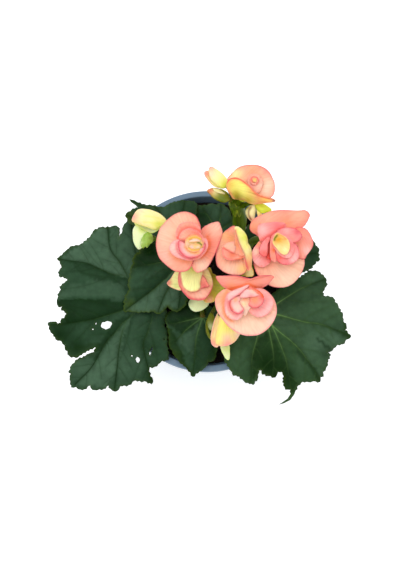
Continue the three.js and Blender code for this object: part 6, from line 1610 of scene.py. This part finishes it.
# %% The two front buds
make_bud("bud_front", base=149, valves=[
    dict(belly=8, mid=(13.5, -36), face="lemon", rim="salmon", flush=0.4,
        washes=[(15, -31, 3.4, "gold", 0.3), (14, -41, 4.4, "cream", 0.8), (14, -46, 4, "rose", 0.9),
          (21, -38, 3.5, "cream", 0.8)],
        edge=[(9.4, -24), (7.6, -30), (6, -37), (5.6, -43.6), (9, -45.8), (14.6, -45.4), (19, -43),
          (21.8, -39.6), (23, -36), (19, -31), (13, -24.6)]),
    dict(mid=(5.6, -35, -2.5), face="butter", rim="rose", back="lemon", level=-1,
        washes=[(4, -44, 4, "rose", 0.8), (3.4, -34, 2.4, "cream", 0.6)],
        edge=[(8.4, -21.6, -2), (5.4, -27), (3.4, -34.5), (2.6, -40.5), (3.8, -45.2), (7.6, -46.2),
          (8.6, -38, -3.4), (9.6, -28, -3)]),
])
make_bud("bud_front_small", base=136.5, valves=[
    dict(belly=4, mid=(12.6, -49.5), face="mint", rim="lime", washes=[(14, -48, 3, "lime", 0.4)],
        edge=[(10.6, -43.4), (9.4, -46), (10.6, -50.5), (13.8, -55.2), (15.4, -54.8), (15.8, -50),
          (15.4, -45.6), (13, -43.4)]),
])

# %% The middle bud and the green bud
make_bud("bud_middle", base=134, valves=[
    dict(belly=6, mid=(-5.8, -16), face="mint", rim="mint", back="mint", line=0.1,
        washes=[(-13, -14, 4, "moss", 0.7)],
        edge=[(-5, -9), (-9.6, -10.6), (-12.8, -14.4), (-12.6, -18), (-9.6, -21.2), (-6, -21.4),
          (-1.6, -19.4), (1.4, -15.6), (0, -11)]),
])
make_bud("bud_green", base=122.5, valves=[
    dict(belly=2.6, mid=(2.6, -29), face="olive", rim="olive", back="olive",
        washes=[(2.8, -32, 2.2, "mint", 0.5)],
        edge=[(3.4, -22.6), (0.6, -25.4), (0.3, -30.4), (2.4, -35), (4.6, -31), (5.2, -26)]),
    dict(mid=(0.4, -32, -0.5), face="olive", rim="moss", back="olive",
        edge=[(2.8, -21.6, -1), (0.2, -26, -0.5), (-1.2, -32, 0), (0, -38, 0), (2.6, -41.4, 0),
          (1, -36, -0.6), (1, -30, -1.4)]),
])

# %% The three back buds
make_bud("bud_back_upper", base=161, valves=[
    dict(belly=6, mid=(8, 76.5), face="butter", rim="lemon", back="lime",
        washes=[(13, 70, 5, "lime", 0.9), (2.4, 84, 4, "rose", 0.9), (3, 78, 3, "cream", 0.7)],
        edge=[(15.4, 69.6), (16, 73), (12.6, 77.6), (7.4, 81.8), (3, 84.6), (1.2, 82), (2.4, 76), (5.6, 71.4),
          (10.6, 68.2)]),
    dict(mid=(3, 76.5, -3), face="butter", rim="rose", back="lime", level=-1,
        washes=[(-0.6, 79.5, 3.4, "rose", 0.9), (9, 70, 4, "lime", 0.7)],
        edge=[(12.8, 68.6), (6, 69.4, -2), (2, 73, -2), (-1.8, 78.8), (-0.8, 81.2), (2, 81, -2),
          (6, 75, -3.5)]),
])
make_bud("bud_back_lower", base=154, valves=[
    dict(belly=5, mid=(8.4, 63.4), face="sepal", rim="olive", back="olive", line=0.3,
        washes=[(8, 62, 5, "olive", 0.45), (2.6, 66, 3, "pink", 0.7), (6, 64.4, 2.4, "butter", 0.6),
          (11, 59.6, 5, "stem_bright", 0.9), (15.4, 62, 2.6, "stem_bright", 0.7)],
        edge=[(16.5, 60), (15.4, 64.4), (12, 67), (8.6, 67.9), (4, 68.6), (0, 66.6), (2.6, 63.2), (5.4, 60.4),
          (9.6, 58.2), (13.6, 57.8)]),
    dict(mid=(8.6, 65.8, 3.6), face="butter", rim="butter", level=3,
        edge=[(13, 64.2, 2.4), (11, 66), (8, 67.4), (4.6, 68, 2.4), (6, 66.2), (9, 64.8)]),
])
make_bud("bud_back_right", base=158, valves=[
    dict(belly=2.2, mid=(39.6, 53.2, 0.5), face="lime", rim="lime", back="olive",
        edge=[(33.4, 56.6, -1), (37, 57.4), (41.6, 56.2), (46.4, 52.2), (43, 50.4), (39.6, 49.8),
          (35.4, 53.4, -1)]),
    dict(mid=(31.4, 51, 1), face="butter", rim="olive", back="olive",
        washes=[(32, 45, 2.6, "peach", 0.9), (29, 54, 2, "olive", 0.9)],
        strokes=[([(31.6, 54), (30.2, 51.6), (30.2, 48.4), (31.6, 45.6)], 0.8, "russet", 0.8)],
        edge=[(34.4, 56.2), (30.4, 55), (28, 52, -1), (28.4, 48, -2), (31, 44.6, -3), (33.4, 43.2, -3),
          (34.2, 48, -1), (35, 52.6)]),
    dict(mid=(37, 51, -1), face="lemon", rim="peach", back="lime", washes=[(38, 48, 2, "salmon", 0.7)],
        edge=[(35, 56.4), (37.6, 53.4), (39.4, 50, -1), (38.6, 47.4, -2), (36.6, 47.6, -2), (35.6, 52, -1)]),
])

# %% [markdown]
# ## Stems
# Three main stems rise out of the soil, and each forks into the stalks that carry its flowers. A
# flower stalk ends a little way up inside its bloom's receptacle, or at the foot of its bud. The routes are
# given so that no stalk runs through a neighbour. Small bracts sit where the stalks part, and they
# are petals in stem green.

# %% From routes to a stem
BRACT = {"face": "stem_bright", "rim": "lime", "back": "stem_bright", "ripple": 0.1, "lip": 0.1, "line": 0.3}
BRACT_GRID = 14
BRANCH_FLUSH = 0.4


def make_stem(name, branches, bracts, skin="stem"):
    """A main stem, its branches and its bracts as one piece. `to` names the flower that a branch carries."""
    parts = []
    for branch in branches:
        route = branch["route"] + ([seats[branch["to"]]] if "to" in branch else [])
        flush = branch.get("flush", BRANCH_FLUSH)
        parts.append(stalk(route, branch["foot"], branch["tip"], flush, skin))
    parts += [petal_part({**BRACT, **bract}, 0, grid=BRACT_GRID) for bract in bracts]
    make_piece(name + "_stalks", joined(parts), stalk_skin, [name])
    print(name, len(branches), "stalks and", len(bracts), "bracts")


# %% The left stem
make_stem("stem_left", branches=[
    dict(route=[(-10, 4, 70), (-10.6, 4, 96), (-11.6, 3, 110), (-12, 3, 124)], foot=4.8, tip=3.4),
    dict(route=[(-12, 3, 120), (-11, 6, 138), (-9, 9.4, 154)], foot=3, tip=2, to="bloom_upper_left"),
    dict(route=[(-11.6, 4, 128), (-10, -2, 134)], foot=2.2, tip=1.7, to="bloom_half_open"),
    dict(route=[(-11.5, 5.4, 134), (-18, 17, 139)], foot=2.2, tip=1.6, to="bud_left_upper"),
    dict(route=[(-11.7, 5, 131), (-23, 16, 134)], foot=2, tip=1.4, to="bud_left_lower"),
    dict(route=[(-11.8, 2.8, 118), (-9.4, -6, 126)], foot=1.9, tip=1.4, to="bud_middle"),
], bracts=[
    dict(mid=(-16, 13, 126), edge=[(-13.6, 8.6, 125), (-17, 11.4, 126), (-20, 17, 126.6),
        (-16.6, 15.6, 126.4), (-13, 12, 126)]),
])

# %% The right stem
make_stem("stem_right", branches=[
    dict(route=[(18, 1, 70), (18.2, 1, 96), (18.8, 0.5, 112), (19.2, 0, 127)], foot=4.8, tip=3.4),
    dict(route=[(19, 0.4, 122), (17.6, 3.6, 142)], foot=2.8, tip=1.9, to="bloom_upper_middle"),
    dict(route=[(19.2, 0.4, 124), (23.5, 10, 133), (30, 20, 142), (38, 18.5, 151)], foot=2.8, tip=2.2,
        to="bloom_right"),
    dict(route=[(19.2, -0.6, 125), (21, -12, 147), (23, -23, 165)], foot=2.8, tip=2, to="bloom_lower_middle"),
    dict(route=[(20, -5.4, 135), (14, -17, 142)], foot=2, tip=1.7, to="bud_front"),
    dict(route=[(19, -1, 124), (13, -22, 134)], foot=1.9, tip=1.3, to="bud_front_small"),
    dict(route=[(18.5, 0, 114), (10, -13, 119.5)], foot=1.6, tip=1.2, to="bud_green"),
], bracts=[
    dict(mid=(22, 6, 126), edge=[(18.8, 4, 125), (22, 2.6, 126.4), (27, 6, 127.6), (23.4, 8.4, 126.6),
        (20, 8, 126)]),
])

# %% The back stem
make_stem("stem_back", branches=[
    dict(route=[(12, 21, 70), (13, 21, 96), (16, 24, 110), (21, 31, 122), (22, 38, 133), (19, 45, 145)],
        foot=5, tip=4.6, flush=0),
    dict(route=[(19.8, 44, 141), (21, 45.6, 150)], foot=2.5, tip=2, to="bloom_back"),
    dict(route=[(19.4, 45.4, 144), (16.6, 48.6, 151)], foot=2, tip=1.6, to="bud_back_upper"),
    dict(route=[(19.4, 44.6, 142), (16.6, 47, 147)], foot=2, tip=1.5, to="bud_back_lower"),
    dict(route=[(20.6, 42.6, 140), (26, 43.6, 150)], foot=1.9, tip=1.4, to="bud_back_right"),
], bracts=[
    dict(mid=(18.4, 56, 146.4), edge=[(16.4, 59.6, 146), (16, 57, 145), (18, 52, 143), (20.4, 47, 141.6),
        (21.6, 52, 146.4), (20.6, 57.6, 147.4), (18.6, 60, 147)]),
    dict(mid=(24, 55.6, 146.4), edge=[(26.8, 58.4, 145), (24.4, 59.4, 147), (22, 57, 147.4),
        (21.4, 52, 146.4), (23, 47, 141.6), (25.6, 52, 143), (27.2, 56, 144.6)]),
], skin="stem_bright")

# %% [markdown]
# ## Camera, floor and light
# The plant is seen from almost straight above, a little towards its front, from about 60 cm over the rim.
# The floor is plain and pale. Light comes from a bright room and from one broad soft lamp above the plant,
# which shapes the petals.

# %% Camera
FOCAL = 53.6
SENSOR = 36
NEAREST = 0.02
TARGET = Vector((-5, -4, RIM_HEIGHT)) * MM


def aimed(name, data, place, target):
    """A camera or lamp that looks from its place to a target."""
    made = bpy.data.objects.new(name, data)
    made.location = place
    made.rotation_euler = (Vector(target) - Vector(place)).to_track_quat("-Z", "Y").to_euler()
    bpy.context.scene.collection.objects.link(made)
    return made


camera = aimed("camera", bpy.data.cameras.new("camera"), Vector(EYE + PLANT_PLACE) * MM, TARGET)
camera.data.lens = FOCAL
camera.data.sensor_width = SENSOR
camera.data.clip_start = NEAREST
bpy.context.scene.camera = camera
print("camera to target:", round((TARGET - camera.location).length / MM), "mm")

# %% A pale floor
FLOOR_HALF = 1500
FLOOR_GLOW = 0.32

corners = [(u * FLOOR_HALF, v * FLOOR_HALF, 0) for u, v in ((-1, -1), (1, -1), (1, 1), (-1, 1))]
floor = mesh_object("floor", corners, [(0, 1, 2, 3)])
floor.data.materials.append(new_material("floor_paint", {
    "Base Color": (0.95, 0.95, 0.95, 1),
    "Emission Color": (1, 1, 1, 1),
    "Emission Strength": FLOOR_GLOW,
    "Roughness": 0.9,
    "Specular IOR Level": 0.1,
})[0])
print("floor side:", 2 * FLOOR_HALF, "mm")

# %% Room light and one soft lamp
ROOM = {"Color": (0.95, 0.97, 1.0, 1), "Strength": 0.86}
LAMP = {"place": (-0.3, 0.2, 1.55), "target": (0, 0, 0.12), "size": 1.8, "power": 17}

room = bpy.data.worlds.new("room")
room.use_nodes = True
set_inputs(room.node_tree.nodes["Background"], ROOM)
bpy.context.scene.world = room
window = bpy.data.lights.new("window", "AREA")
window.shape = "SQUARE"
window.size = LAMP["size"]
window.energy = LAMP["power"]
aimed("window", window, LAMP["place"], LAMP["target"])
bpy.context.scene.view_settings.view_transform = "Standard"
